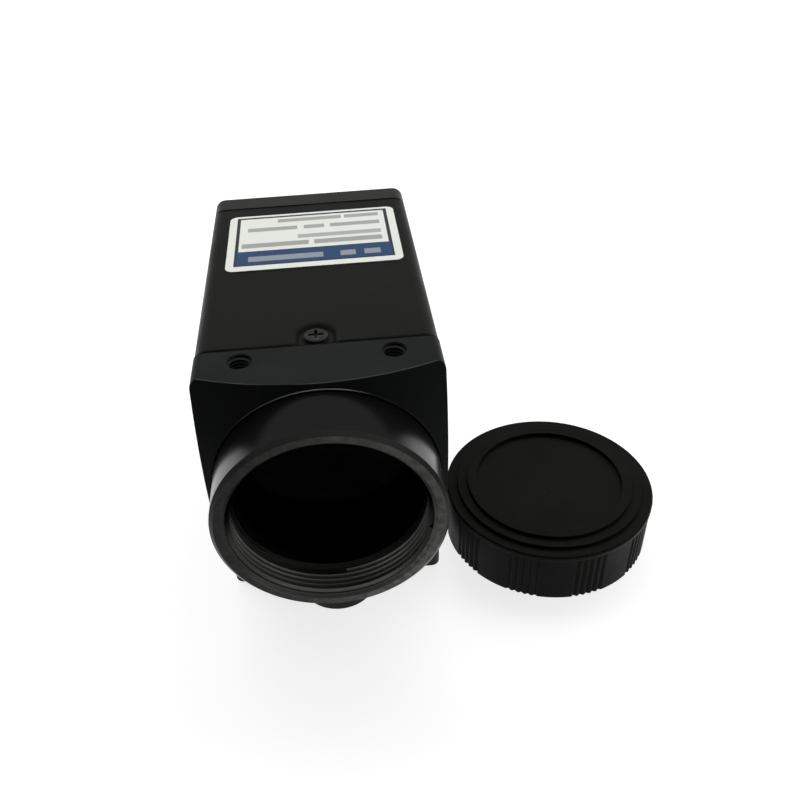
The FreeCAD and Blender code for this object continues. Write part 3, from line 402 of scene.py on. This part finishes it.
def dust_group():
    """Specks in scattered patches, more of them where a surface faces up."""
    tree, given, result = new_group("settled_dust", {"Place": None, "Scale": 900.0, "Amount": 0.3},
                                    ("Mask",))
    specks = node(tree, "ShaderNodeTexVoronoi", {"feature": "F1"}, Vector=given["Place"],
                  Scale=given["Scale"], Randomness=1.0)
    patches = node(tree, "ShaderNodeTexNoise", Vector=given["Place"],
                   Scale=product(tree, given["Scale"], 0.21), Detail=3.0)
    dots = remap(tree, specks.outputs["Distance"], 0.16, 0.05)
    where = remap(tree, patches.outputs[0], 0.52, 0.68)
    up = coordinates(tree, node(tree, "ShaderNodeNewGeometry").outputs["Normal"])
    facing = remap(tree, up["Z"], -0.2, 0.9, 0.15, 1.0)
    mask = product(tree, dots, where, facing)
    tree.links.new(maths(tree, "MULTIPLY", mask, given["Amount"], clamp=True), result["Mask"])
    return tree


def wear_group():
    """Where corners have rubbed: a rounded normal that leaves the true one, broken up by noise."""
    tree, given, result = new_group("edge_wear", {"Place": None, "Reach": 0.2 * MM, "Breakup": 260.0,
                                                  "Amount": 0.5}, ("Mask",))
    rounded = node(tree, "ShaderNodeBevel", {"samples": EDGE_SAMPLES}, Radius=given["Reach"])
    true = node(tree, "ShaderNodeNewGeometry").outputs["Normal"]
    aligned = node(tree, "ShaderNodeVectorMath", {"operation": "DOT_PRODUCT"})
    tree.links.new(rounded.outputs[0], aligned.inputs[0])
    tree.links.new(true, aligned.inputs[1])
    bend = remap(tree, maths(tree, "SUBTRACT", 1.0, aligned.outputs["Value"]), 0.02, 0.22)
    noise = node(tree, "ShaderNodeTexNoise", Vector=given["Place"], Scale=given["Breakup"], Detail=5.0)
    broken = remap(tree, noise.outputs[0], 0.30, 0.65)
    mask = product(tree, bend, broken)
    tree.links.new(maths(tree, "MULTIPLY", mask, given["Amount"], clamp=True), result["Mask"])
    return tree


def field_group():
    """A rectangle seen from above: 1 inside its four sides and 0 outside."""
    tree, given, result = new_group("flat_field", {"Place": None, "Left": 0.0, "Right": 1.0,
                                                   "Front": 0.0, "Rear": 1.0}, ("Mask",))
    axes = coordinates(tree, given["Place"])
    mask = product(tree, maths(tree, "GREATER_THAN", axes["X"], given["Left"]),
                   maths(tree, "LESS_THAN", axes["X"], given["Right"]),
                   maths(tree, "GREATER_THAN", axes["Y"], given["Front"]),
                   maths(tree, "LESS_THAN", axes["Y"], given["Rear"]))
    tree.links.new(mask, result["Mask"])
    return tree


GROUPS = {"surface_grain": grain_group, "settled_dust": dust_group, "edge_wear": wear_group,
          "flat_field": field_group}


def effect(tree, name, **sockets):
    """Place a shared node group, building it the first time."""
    made = tree.nodes.new("ShaderNodeGroup")
    made.node_tree = bpy.data.node_groups.get(name) or GROUPS[name]()
    for title, value in sockets.items():
        put(tree, made.inputs[title], value)
    return made.outputs


def start_material(name):
    """A material's tree with only a Principled shader, and the piece's own coordinates."""
    material = bpy.data.materials.new(name)
    material.use_nodes = True
    tree = material.node_tree
    place = node(tree, "ShaderNodeTexCoord").outputs["Object"]
    return material, tree, tree.nodes["Principled BSDF"], place


def relief(tree, height, strength, depth, softness):
    """A normal from a height, laid over softly rounded edges."""
    rounded = node(tree, "ShaderNodeBevel", {"samples": EDGE_SAMPLES}, Radius=softness)
    bump = node(tree, "ShaderNodeBump", Strength=strength, Distance=depth, Height=height,
                Normal=rounded.outputs[0])
    return bump.outputs[0]


def coated(name, tint, rough, specular, grain=5200.0, strength=0.25, dust=0.04, wear=0.0, tone=0.12,
           marks=None):
    """A painted, anodised or moulded finish with grain, slow changes of tone, dust and rubbed edges.

    marks adds a piece's own marks: it takes the tree, the coordinates and the colour so far.
    """
    material, tree, shader, place = start_material(name)
    looks = settings("paint")
    surface = effect(tree, "surface_grain", Place=place, Grain=grain)
    dusty = effect(tree, "settled_dust", Place=place, Amount=dust)["Mask"]
    light = [channel * (1 + tone) for channel in tint]
    dark = [channel * (1 - tone) for channel in tint]
    base = blend(tree, surface["Tone"], dark, light)
    if wear:
        wear_and_light = effect(tree, "edge_wear", Place=place, Amount=wear)["Mask"]
        base = blend(tree, wear_and_light, base, looks.bare)
    if marks:
        base = marks(tree, place, base)
    put(tree, shader.inputs["Base Color"], blend(tree, dusty, base, looks.dust))
    put(tree, shader.inputs["Roughness"],
        remap(tree, surface["Tone"], 0.0, 1.0, rough - COAT_SWING[0], rough + COAT_SWING[1]))
    shader.inputs["Specular IOR Level"].default_value = specular
    put(tree, shader.inputs["Normal"],
        relief(tree, surface["Height"], strength, COAT_RELIEF, looks.edge))
    return material


def metal(name, tint, rough, grain=3000.0, turned_along=None):
    """Bare or plated metal with fine marks, which run round the axis of a turned piece."""
    material, tree, shader, place = start_material(name)
    stretch = node(tree, "ShaderNodeMapping", Vector=place)
    if turned_along:
        scale = [ROUND_SCALE] * 3
        scale["xyz".index(turned_along)] = 1.0
        stretch.inputs["Scale"].default_value = scale
    marks = effect(tree, "surface_grain", Place=stretch.outputs[0], Grain=grain)
    light = [min(1.0, channel * METAL_LIGHT) for channel in tint]
    dark = [channel * METAL_DARK for channel in tint]
    put(tree, shader.inputs["Base Color"], blend(tree, marks["Tone"], dark, light))
    put(tree, shader.inputs["Roughness"],
        remap(tree, marks["Height"], 0.3, 0.7, rough - METAL_SWING[0], rough + METAL_SWING[1]))
    shader.inputs["Metallic"].default_value = 1.0
    put(tree, shader.inputs["Normal"],
        relief(tree, marks["Height"], 0.2, METAL_RELIEF, settings("paint").edge))
    return material


# ---- mesh helpers ---------------------------------------------------------------------------------
def finish(name, mesh_maker, material):
    """Make a thread's piece from a bmesh, shade it smooth, and let it ride on the body.

    Normals are weighted by area, so the ridge's wider faces keep their own.
    """
    mesh = bpy.data.meshes.new(name)
    mesh_maker.to_mesh(mesh)
    mesh_maker.free()
    mesh.polygons.foreach_set("use_smooth", [True] * len(mesh.polygons))
    mesh.set_sharp_from_angle(angle=math.radians(THREAD_BEND))
    mesh.materials.append(material)
    piece = bpy.data.objects.new(name, mesh)
    bpy.context.scene.collection.objects.link(piece)
    weigh = piece.modifiers.new("flat_faces", "WEIGHTED_NORMAL")
    weigh.mode = "FACE_AREA"
    weigh.weight = 50
    weigh.keep_sharp = True
    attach(piece, BODY)


def dress(material, *names):
    """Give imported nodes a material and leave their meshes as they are."""
    for name in names:
        mesh = frame["nodes"][name].data
        mesh.materials.clear()
        mesh.materials.append(material)


def thread_turns(at, axis, radius, start, run, pitch, height, side):
    """A screw thread's ridge standing in from a bore's wall, spun with a rise in each step.

    It runs along the axis from start over run; at is a point on the axis, and side is the
    direction in which it begins. Its two ends are closed.
    """
    steps = settings("threads").steps
    turns = run / pitch
    made = bmesh.new()
    # A flat crest, sides about 55 degrees apart, and feet sunk a little into the wall.
    crest, root = radius - height, radius + 0.02 * MM
    half_crest, half_root = pitch / 16, height / math.sqrt(3.0) * 1.15
    profile = [(root, -half_root), (crest, -half_crest), (crest, half_crest), (root, half_root)]
    corners = [made.verts.new(at + axis * (start + along) + side * out) for out, along in profile]
    edges = [made.edges.new(pair) for pair in zip(corners, corners[1:])]
    spun = bmesh.ops.spin(made, geom=corners + edges, cent=at, axis=axis, dvec=axis * (pitch / steps),
                          angle=2 * math.pi * turns, steps=round(steps * turns), use_merge=False)
    last = [part for part in spun["geom_last"] if isinstance(part, bmesh.types.BMVert)]
    for end in (corners, last):
        bmesh.ops.contextual_create(made, geom=end)
    bmesh.ops.recalc_face_normals(made, faces=made.faces)
    return made


# ---- pieces ---------------------------------------------------------------------------------------
def ring_material():
    """Anodised black, rubbed to bare metal on the front face, with painted light in the bare metal
    colour on the face, the mouth, the top of the rim bevel and the thread.
    """
    material, tree, shader, place = start_material("ring_anodised")
    looks, paint = settings("ring"), settings("paint")
    axes, radius = across_axis(tree, place)
    depth = axes["Y"]

    def along(*names):
        """The product of named changes along the ring."""
        changes = (RING_CHANGES[name] for name in names)
        return product(tree, *(remap(tree, axes[axis], start * MM, end * MM, before, after)
                               for axis, start, end, before, after in changes))

    # The ring's surfaces: its front face, the bevels of its mouth and rim, and its bore. Each one's
    # mask has a soft edge, a tenth of a millimetre wide or a little more.
    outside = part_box("lens_mount_ring")[1].x
    rim, mouth = outside - looks.rim_width, outside - looks.face_width
    bevel_end = looks.bevel_depth
    bore = MOUNTS["lens_thread"]["dims"]["r_mm"] * MM
    front = along("front_face")
    mouth_bevel = product(tree, remap(tree, radius, mouth + 0.10 * MM, mouth - 0.05 * MM),
                          remap(tree, depth, bevel_end + 0.06 * MM, bevel_end - 0.04 * MM))
    rim_bevel = product(tree, remap(tree, radius, rim - 0.05 * MM, rim + 0.05 * MM),
                        remap(tree, depth, bevel_end + 0.05 * MM, bevel_end - 0.05 * MM))
    inside = remap(tree, radius, bore + 0.12 * MM, bore + 0.02 * MM)
    face = highest(tree, front, mouth_bevel)

    # The face wears in patches, with painted light that grows to the right and towards the bottom. The
    # thread and the bottom of the mouth get painted light, lighter at the bottom where light falls from
    # above and less to the sides; the top of the rim bevel gets a painted highlight.
    rubbed = node(tree, "ShaderNodeTexNoise", Vector=place, Scale=900.0, Detail=6.0, Roughness=0.7)
    patches = remap(tree, rubbed.outputs[0], 0.34, 0.66, 0.65, 1.10)
    face_wear_and_light = product(tree, face, patches, along("face_light_left_to_right", "face_light_bottom_to_top"),
                        looks.face_wear)
    thread = product(tree, inside, along("more_inward", "behind_thread", "lit_lower_half",
                                         "less_light_at_right", "less_light_at_left"))
    mouth_lit = product(tree, mouth_bevel, along("mouth_lit_at_bottom"), looks.mouth_light)
    edges = effect(tree, "edge_wear", Place=place, Reach=0.10 * MM, Amount=0.9)["Mask"]
    wear_and_light = highest(tree, face_wear_and_light, product(tree, edges, looks.edge_wear),
                   product(tree, highest(tree, thread, mouth_lit), looks.lower_bore_light),
                   product(tree, rim_bevel, along("rim_lit_at_top"), looks.rim_light))

    tint = blend(tree, wear_and_light, looks.barrel, paint.bare)
    # The thread is lightened further with a painted highlight.
    put(tree, shader.inputs["Base Color"],
        blend(tree, product(tree, thread, looks.thread_highlight), tint, paint.painted_highlight))
    put(tree, shader.inputs["Roughness"],
        remap(tree, wear_and_light, 0.0, 0.4, looks.rough_black, looks.rough_bare))
    put(tree, shader.inputs["Metallic"], product(tree, wear_and_light, looks.metallic))
    # The outside is glossy, the face and bevels are matt, and the top of the bore has no gloss.
    gloss = remap(tree, highest(tree, face, inside, rim_bevel), 0.0, 1.0, looks.gloss, looks.matt)
    dull = maths(tree, "SUBTRACT", 1.0, product(tree, inside, along("top_of_bore")))
    put(tree, shader.inputs["Specular IOR Level"],
        product(tree, gloss, dull, along("duller_at_right")))
    surface = effect(tree, "surface_grain", Place=place, Grain=2500.0)
    put(tree, shader.inputs["Normal"],
        relief(tree, surface["Height"], 0.08, METAL_RELIEF, paint.edge))
    return material


class VISION_OT_lens_mount(bpy.types.Operator):
    """Finish the lens mount ring, its thread, the filter and its retainer"""

    bl_idname = "vision.lens_mount"
    bl_label = "Lens mount"

    def execute(self, context):
        sizes = settings("threads")
        mount = MOUNTS["lens_thread"]
        black = ring_material()
        dress(black, "lens_mount_ring")
        flange = Vector((0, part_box("lens_mount_ring")[0].y, 0))
        skipped = sizes.lens_pitch * sizes.lens_side / (2 * math.pi)
        start = sizes.lens_pitch * LENS_LEAD + skipped
        run = mount["dims"]["length_mm"] * MM - sizes.lens_pitch * LENS_PLAIN - skipped
        side = Vector((math.sin(sizes.lens_side), 0, math.cos(sizes.lens_side)))
        turns = thread_turns(flange, -Vector(mount["axis"]), mount["dims"]["r_mm"] * MM, start, run,
                             sizes.lens_pitch, sizes.lens_height, side)
        finish("lens_thread_turns", turns, black)

        glass, tree, shader, place = start_material("filter_glass")
        smear = effect(tree, "surface_grain", Place=place, Grain=900.0, Tone=90.0)
        put(tree, shader.inputs["Roughness"], remap(tree, smear["Tone"], 0.0, 1.0, 0.01, 0.05))
        put(tree, shader.inputs["Base Color"], settings("fittings").filter)
        shader.inputs["Transmission Weight"].default_value = 1.0
        shader.inputs["IOR"].default_value = 1.04
        shader.inputs["Specular IOR Level"].default_value = 0.1
        dress(glass, "filter_glass")
        dress(coated("retainer_black", settings("ring").barrel, rough=0.5, specular=0.2),
              "filter_retainer")
        return {"FINISHED"}


class VISION_OT_front_block(bpy.types.Operator):
    """Finish the front block and the threads in its top holes"""

    bl_idname = "vision.front_block"
    bl_label = "Front block"

    def execute(self, context):
        sizes, looks = settings("threads"), settings("paint")
        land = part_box("lens_mount_ring")[1].x + looks.land
        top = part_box("front_block")[1].z
        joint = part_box("housing_cover")[0].y - looks.block_joint
        dome = looks.dome_centre - looks.dome_start
        line_width, line_soft, shade_soft = 0.06 * MM, 0.02 * MM, 0.08 * MM

        def bright_edges(tree, place, base):
            """Painted highlights on the land and the curved top edge, and painted shade at the joint to
            the cover.
            """
            axes, radius = across_axis(tree, place)
            line = product(tree, within(tree, radius, land, land + line_width, line_soft),
                           remap(tree, axes["Z"], 1.0 * MM, 9.0 * MM),
                           highest(tree, lit(tree, axes["X"], LAND_LIT), LAND_UNLIT))
            reach = distance(tree, place, (0.0, looks.dome_centre, 0.0))
            edge = product(tree, remap(tree, reach, dome - 0.14 * MM, dome - 0.06 * MM),
                           remap(tree, axes["Z"], top - 0.10 * MM, top - 0.04 * MM),
                           highest(tree, *(lit(tree, axes["X"], part) for part in TOP_EDGE_LIT)),
                           looks.top_edge_highlight)
            # A painted highlight in the bare metal colour along the curved top edge.
            base = blend(tree, edge, base, looks.bare)
            # Painted shade before the joint to the cover, widening its dark gap.
            dark = remap(tree, axes["Y"], joint, joint + shade_soft)
            base = blend(tree, dark, base, looks.painted_shade)
            return blend(tree, line, base, looks.painted_highlight)

        # The rubbed edges here are partly wear and partly painted highlight, giving the edges light
        # lines.
        dress(coated("block_paint", looks.block, rough=0.50, specular=0.05, wear=0.12,
                     marks=bright_edges), "front_block")
        cut = metal("block_thread", settings("fittings").cut, rough=0.40)
        holes = MOUNTS["top_holes"]
        centre, spacing = Vector(holes["pos_m"]), holes["dims"]["spacing_x_mm"] * MM
        for side, sign in (("left", -1), ("right", 1)):
            at = centre + Vector((sign * spacing / 2, 0, 0))
            turns = thread_turns(at, Vector((0, 0, -1)), holes["dims"]["hole_r_mm"] * MM,
                                 sizes.screw_start, sizes.screw_run, sizes.screw_pitch,
                                 sizes.screw_height, Vector((0, -1, 0)))
            finish("top_hole_thread_" + side, turns, cut)
        return {"FINISHED"}


class VISION_OT_cover(bpy.types.Operator):
    """Finish the cover, the rear cap, their seal and the small screws"""

    bl_idname = "vision.cover"
    bl_label = "Cover and rear cap"

    def execute(self, context):
        looks, fittings = settings("paint"), settings("fittings")
        low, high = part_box("housing_cover")
        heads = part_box("cover_screws")
        seat = (heads[0].y + heads[1].y) / 2
        dimple_depth, half_line, line_soft = 1.2 * MM, 0.10 * MM, 0.18 * MM

        def joint_lines(tree, place, base):
            """Painted shade round the dimples and at the cover's two joints."""
            axes = coordinates(tree, place)
            front = remap(tree, axes["Y"], low.y + looks.joint, low.y + looks.joint * 1.6, 1.0, 0.0)
            rear = within(tree, axes["Y"], high.y - looks.joint, high.y + looks.joint,
                          looks.joint * 0.6)
            # A dimple is round behind its screw, and has straight sides before it.
            behind = highest(tree, maths(tree, "SUBTRACT", axes["Y"], seat), 0.0)
            reach = flat_length(tree, X=axes["X"], Y=behind)
            near_outside = maths(tree, "GREATER_THAN", maths(tree, "ABSOLUTE", axes["Z"]),
                                 high.z - dimple_depth)
            # A dimple's steep walls get a line of painted shade.
            dimple = product(tree, within(tree, reach, looks.dimple - half_line,
                                          looks.dimple + half_line, line_soft),
                             near_outside, looks.dimple_shade)
            base = blend(tree, dimple, base, looks.painted_shade)
            return blend(tree, highest(tree, front, rear), base, looks.painted_shade)

        # The rubbed edges here are partly wear and partly painted highlight, giving the edges light
        # lines.
        dress(coated("cover_paint", looks.cover, rough=0.50, specular=0.20, grain=4200.0, wear=0.15,
                     marks=joint_lines), "housing_cover")
        dress(coated("rear_cap_paint", looks.rear, rough=0.48, specular=0.22, wear=0.15,
                     marks=joint_lines), "rear_cap")
        dress(coated("seal_rubber", fittings.seal, rough=0.8, specular=0.1), "rear_seal")
        dress(coated("blackened_steel", fittings.screw, rough=0.38, specular=0.35, grain=2600.0,
                     wear=0.9), "cover_screws", "rear_screws")
        return {"FINISHED"}


class VISION_OT_label(bpy.types.Operator):
    """Print the label: a pale plate, a frame line, a coloured band and plain bars"""

    bl_idname = "vision.label"
    bl_label = "Label"

    def execute(self, context):
        looks = settings("label")
        low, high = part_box("label")
        material, tree, shader, place = start_material("label_print")

        def field(left, right, front, rear):
            return effect(tree, "flat_field", Place=place, Left=left, Right=right, Front=front,
                          Rear=rear)["Mask"]

        left, right = low.x + looks.margin_side, high.x - looks.margin_side
        front, rear = low.y + looks.margin_front, high.y - looks.margin_rear
        width = looks.line_width
        # The band starts under the frame line.
        tuck = width * 0.6
        outer = field(left, right, front, rear)
        inner = field(left + width, right - width, front + width, rear - width)
        band = field(left + tuck, right - tuck, front + tuck, front + looks.band_depth)
        ink = blend(tree, outer, looks.plate, looks.line)
        ink = blend(tree, inner, ink, looks.plate)
        ink = blend(tree, band, ink, looks.band)
        span, depth = right - left, rear - front
        for middle, half, strength, bars in LABEL_ROWS:
            tone = looks.plate if middle * depth < looks.band_depth else looks.mark
            for start, end in bars:
                bar = field(left + start * span, left + end * span, front + (middle - half) * depth,
                            front + (middle + half) * depth)
                ink = blend(tree, product(tree, bar, strength), ink, tone)
        film = effect(tree, "surface_grain", Place=place, Grain=1500.0, Tone=160.0)
        put(tree, shader.inputs["Base Color"], ink)
        put(tree, shader.inputs["Roughness"], remap(tree, film["Tone"], 0.0, 1.0, 0.34, 0.46))
        shader.inputs["Specular IOR Level"].default_value = 0.35
        put(tree, shader.inputs["Normal"],
            relief(tree, film["Height"], 0.05, 0.01 * MM, 0.05 * MM))
        dress(material, "label")
        return {"FINISHED"}


class VISION_OT_inside(bpy.types.Operator):
    """Finish the boards, posts and chips inside"""

    bl_idname = "vision.inside"
    bl_label = "Boards inside"

    def execute(self, context):
        looks = settings("fittings")
        dress(coated("solder_mask", looks.board, rough=0.35, specular=0.5, grain=1200.0, tone=0.3,
                     dust=0.0), "sensor_board", "main_board", "interface_board", "connector_board")
        dress(metal("turned_brass", looks.brass, rough=0.30, turned_along="y"),
              "front_standoffs", "mid_standoffs", "rear_posts")
        dress(metal("turned_steel", looks.steel, rough=0.30, turned_along="y"), "sensor_spacers")
        dress(metal("drawn_can", looks.can, rough=0.35, turned_along="y"), "capacitors")
        dress(coated("ceramic", looks.ceramic, rough=0.6, specular=0.3, dust=0.0), "image_sensor")
        dress(coated("moulded_black", looks.chip, rough=0.5, specular=0.4, dust=0.0),
              "processor_chip", "board_headers")
        dress(coated("amber_film", looks.film, rough=0.3, specular=0.5, grain=900.0, dust=0.0),
              "connector_flex")
        glass, tree, shader, place = start_material("sensor_glass")
        tint = effect(tree, "surface_grain", Place=place, Grain=600.0)
        put(tree, shader.inputs["Base Color"],
            blend(tree, tint["Tone"], looks.window_dark, looks.window_light))
        shader.inputs["Roughness"].default_value = 0.04
        shader.inputs["Transmission Weight"].default_value = 1.0
        dress(glass, "sensor_window")
        return {"FINISHED"}


class VISION_OT_receptacle(bpy.types.Operator):
    """Finish the cable receptacle at the rear"""

    bl_idname = "vision.receptacle"
    bl_label = "Cable receptacle"

    def execute(self, context):
        looks = settings("fittings")
        dress(metal("nickel_plate", looks.nickel, rough=0.26, turned_along="y"),
              "connector_shell", "connector_nut")
        dress(coated("gasket_rubber", looks.gasket, rough=0.8, specular=0.1, dust=0.15),
              "connector_gasket")
        dress(coated("insert_plastic", looks.insert, rough=0.45, specular=0.4, dust=0.1),
              "connector_insert")
        dress(metal("gold_plate", looks.gold, rough=0.22, turned_along="y"), "connector_pins")
        return {"FINISHED"}


class VISION_OT_mounting_base(bpy.types.Operator):
    """Finish the mounting base, its screws and its tripod thread"""

    bl_idname = "vision.mounting_base"
    bl_label = "Mounting base"

    def execute(self, context):
        sizes, fittings = settings("threads"), settings("fittings")
        dress(coated("base_plastic", settings("paint").base, rough=0.55, specular=0.2, grain=3200.0,
                     strength=0.5), "mounting_base")
        dress(metal("base_screw_steel", fittings.base_screw, rough=0.36, grain=2600.0),
              "base_screws")
        brass = metal("bush_brass", fittings.brass, rough=0.30, turned_along="z")
        dress(brass, "tripod_insert")
        mount = MOUNTS["tripod_thread"]
        at = Vector((mount["pos_m"][0], mount["pos_m"][1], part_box("tripod_insert")[0].z))
        run = mount["dims"]["length_mm"] * MM - sizes.tripod_pitch * TRIPOD_PLAIN
        turns = thread_turns(at, -Vector(mount["axis"]), mount["dims"]["r_mm"] * MM,
                             sizes.tripod_pitch * TRIPOD_LEAD, run, sizes.tripod_pitch,
                             sizes.tripod_height, Vector((0, 1, 0)))
        finish("tripod_thread_turns", turns, brass)
        return {"FINISHED"}


class VISION_OT_dust_cap(bpy.types.Operator):
    """Finish the dust cap that lies beside the camera"""

    bl_idname = "vision.dust_cap"
    bl_label = "Dust cap"

    def execute(self, context):
        looks = settings("paint")
        low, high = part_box("dust_cap")
        middle = (low + high) / 2
        lip = high.z - looks.lip
        line_width, line_soft = 0.16 * MM, 0.06 * MM

        def lip_highlight_and_lint(tree, place, base):
            """A painted highlight in the dust colour along the lip's lower edge, at the front, and a
            grain of lint.
            """
            axes = coordinates(tree, place)
            line = product(tree, within(tree, axes["Z"], lip, lip + line_width, line_soft),
                           remap(tree, axes["Y"], middle.y - 8.0 * MM, middle.y - 13.0 * MM),
                           looks.lip_highlight)
            base = blend(tree, line, base, looks.dust)
            dot = remap(tree, distance(tree, place, looks.speck), 0.12 * MM, 0.20 * MM, 1.0, 0.0)
            return blend(tree, dot, base, looks.dust)

        dress(coated("cap_plastic", looks.cap, rough=0.46, specular=0.06, grain=3600.0, strength=0.4,
                     marks=lip_highlight_and_lint), "dust_cap")
        return {"FINISHED"}


# ---- stage ----------------------------------------------------------------------------------------
def stage_light(name, place, target, size, power):
    """A soft lamp that lights matt surfaces and is not mirrored in glossy ones."""
    data = bpy.data.lights.new(name, "AREA")
    data.shape = "RECTANGLE"
    data.size, data.size_y = size
    data.energy = power
    lamp = bpy.data.objects.new(name, data)
    lamp.location = place
    lamp.rotation_euler = (target - place).to_track_quat("-Z", "Y").to_euler()
    lamp.visible_glossy = False
    bpy.context.scene.collection.objects.link(lamp)


def seen_directly(tree):
    """1 for rays that come straight from the view, or by a mirror or a glass."""
    path = node(tree, "ShaderNodeLightPath").outputs
    mirrored = highest(tree, path["Is Camera Ray"], path["Is Glossy Ray"])
    return maths(tree, "MAXIMUM", mirrored, path["Is Transmission Ray"], clamp=True)


class VISION_OT_stage(bpy.types.Operator):
    """Set out the floor, the soft lights, the surroundings and the view"""

    bl_idname = "vision.stage"
    bl_label = "Stage"

    def execute(self, context):
        looks = settings("stage")
        low, high = CAD_BOUNDS
        middle = (low + high) / 2
        ground = bmesh.new()
        level = Matrix.Translation((middle.x, middle.y, low.z - FLOOR_GAP))
        bmesh.ops.create_circle(ground, cap_ends=True, segments=96, radius=FLOOR_RADIUS, matrix=level)
        mesh = bpy.data.meshes.new("floor")
        ground.to_mesh(mesh)
        ground.free()
        floor = bpy.data.objects.new("floor", mesh)
        context.scene.collection.objects.link(floor)
        material, tree, shader = start_material("floor_paper")[:3]
        seen = seen_directly(tree)
        put(tree, shader.inputs["Base Color"], blend(tree, seen, looks.bounce, looks.floor))
        shader.inputs["Roughness"].default_value = 0.9
        shader.inputs["Specular IOR Level"].default_value = 0.0
        shader.inputs["Emission Color"].default_value = (1.0, 1.0, 1.0, 1.0)
        put(tree, shader.inputs["Emission Strength"], product(tree, seen, looks.glow))
        mesh.materials.append(material)

        for name, away, size, power in LAMPS:
            stage_light(name, middle + Vector(away), middle, size, power)

        world = bpy.data.worlds.new("surroundings")
        context.scene.world = world
        world.use_nodes = True
        tree = world.node_tree
        way = coordinates(tree, node(tree, "ShaderNodeTexCoord").outputs["Generated"])
        rise = remap(tree, way["Z"], HORIZON_LOW, HORIZON_HIGH)
        shade = blend(tree, rise, (1.0, 1.0, 1.0), (looks.sky,) * 3)
        shade = blend(tree, seen_directly(tree), (looks.fill,) * 3, shade)
        put(tree, tree.nodes["Background"].inputs["Color"], shade)

        data = bpy.data.cameras.new("view")
        data.lens = looks.lens
        data.shift_x, data.shift_y = looks.shift
        data.clip_start = 0.005
        view = bpy.data.objects.new("view", data)
        view.matrix_world = (Matrix.Translation(looks.place) @ Matrix.Rotation(-looks.heading, 4, "Z")
                             @ Matrix.Rotation(math.pi / 2 - looks.dip, 4, "X")
                             @ Matrix.Rotation(looks.roll, 4, "Z"))
        context.scene.collection.objects.link(view)
        context.scene.camera = view
        context.scene.view_settings.view_transform = "Standard"
        return {"FINISHED"}


# ---- add-on ---------------------------------------------------------------------------------------
STEPS = (VISION_OT_lens_mount, VISION_OT_front_block, VISION_OT_cover, VISION_OT_label,
         VISION_OT_inside, VISION_OT_receptacle, VISION_OT_mounting_base, VISION_OT_dust_cap,
         VISION_OT_stage)
GROUPS_OF_SETTINGS = {"threads": ThreadSizes, "ring": RingLooks, "paint": PaintLooks,
                      "fittings": FittingLooks, "label": LabelLooks, "stage": StageLooks}


class VISION_PT_steps(bpy.types.Panel):
    """The steps that finish the camera, in order"""

    bl_label = "Vision Camera"
    bl_idname = "VISION_PT_steps"
    bl_space_type = "VIEW_3D"
    bl_region_type = "UI"
    bl_category = "Vision Camera"

    def draw(self, context):
        for step in STEPS:
            self.layout.operator(step.bl_idname)
        for name, kind in GROUPS_OF_SETTINGS.items():
            box = self.layout.box()
            for title in kind.__annotations__:
                box.prop(settings(name), title)


def register():
    for kind in GROUPS_OF_SETTINGS.values():
        bpy.utils.register_class(kind)
    for name, kind in GROUPS_OF_SETTINGS.items():
        setattr(bpy.types.Scene, "vision_" + name, PointerProperty(type=kind))
    for kind in (*STEPS, VISION_PT_steps):
        bpy.utils.register_class(kind)


def unregister():
    for kind in reversed((*STEPS, VISION_PT_steps)):
        bpy.utils.unregister_class(kind)
    for name in GROUPS_OF_SETTINGS:
        delattr(bpy.types.Scene, "vision_" + name)
    for kind in GROUPS_OF_SETTINGS.values():
        bpy.utils.unregister_class(kind)


def main():
    register()
    for step in STEPS:
        prefix, name = step.bl_idname.split(".")
        getattr(getattr(bpy.ops, prefix), name)()


if __name__ == "__main__":
    main()
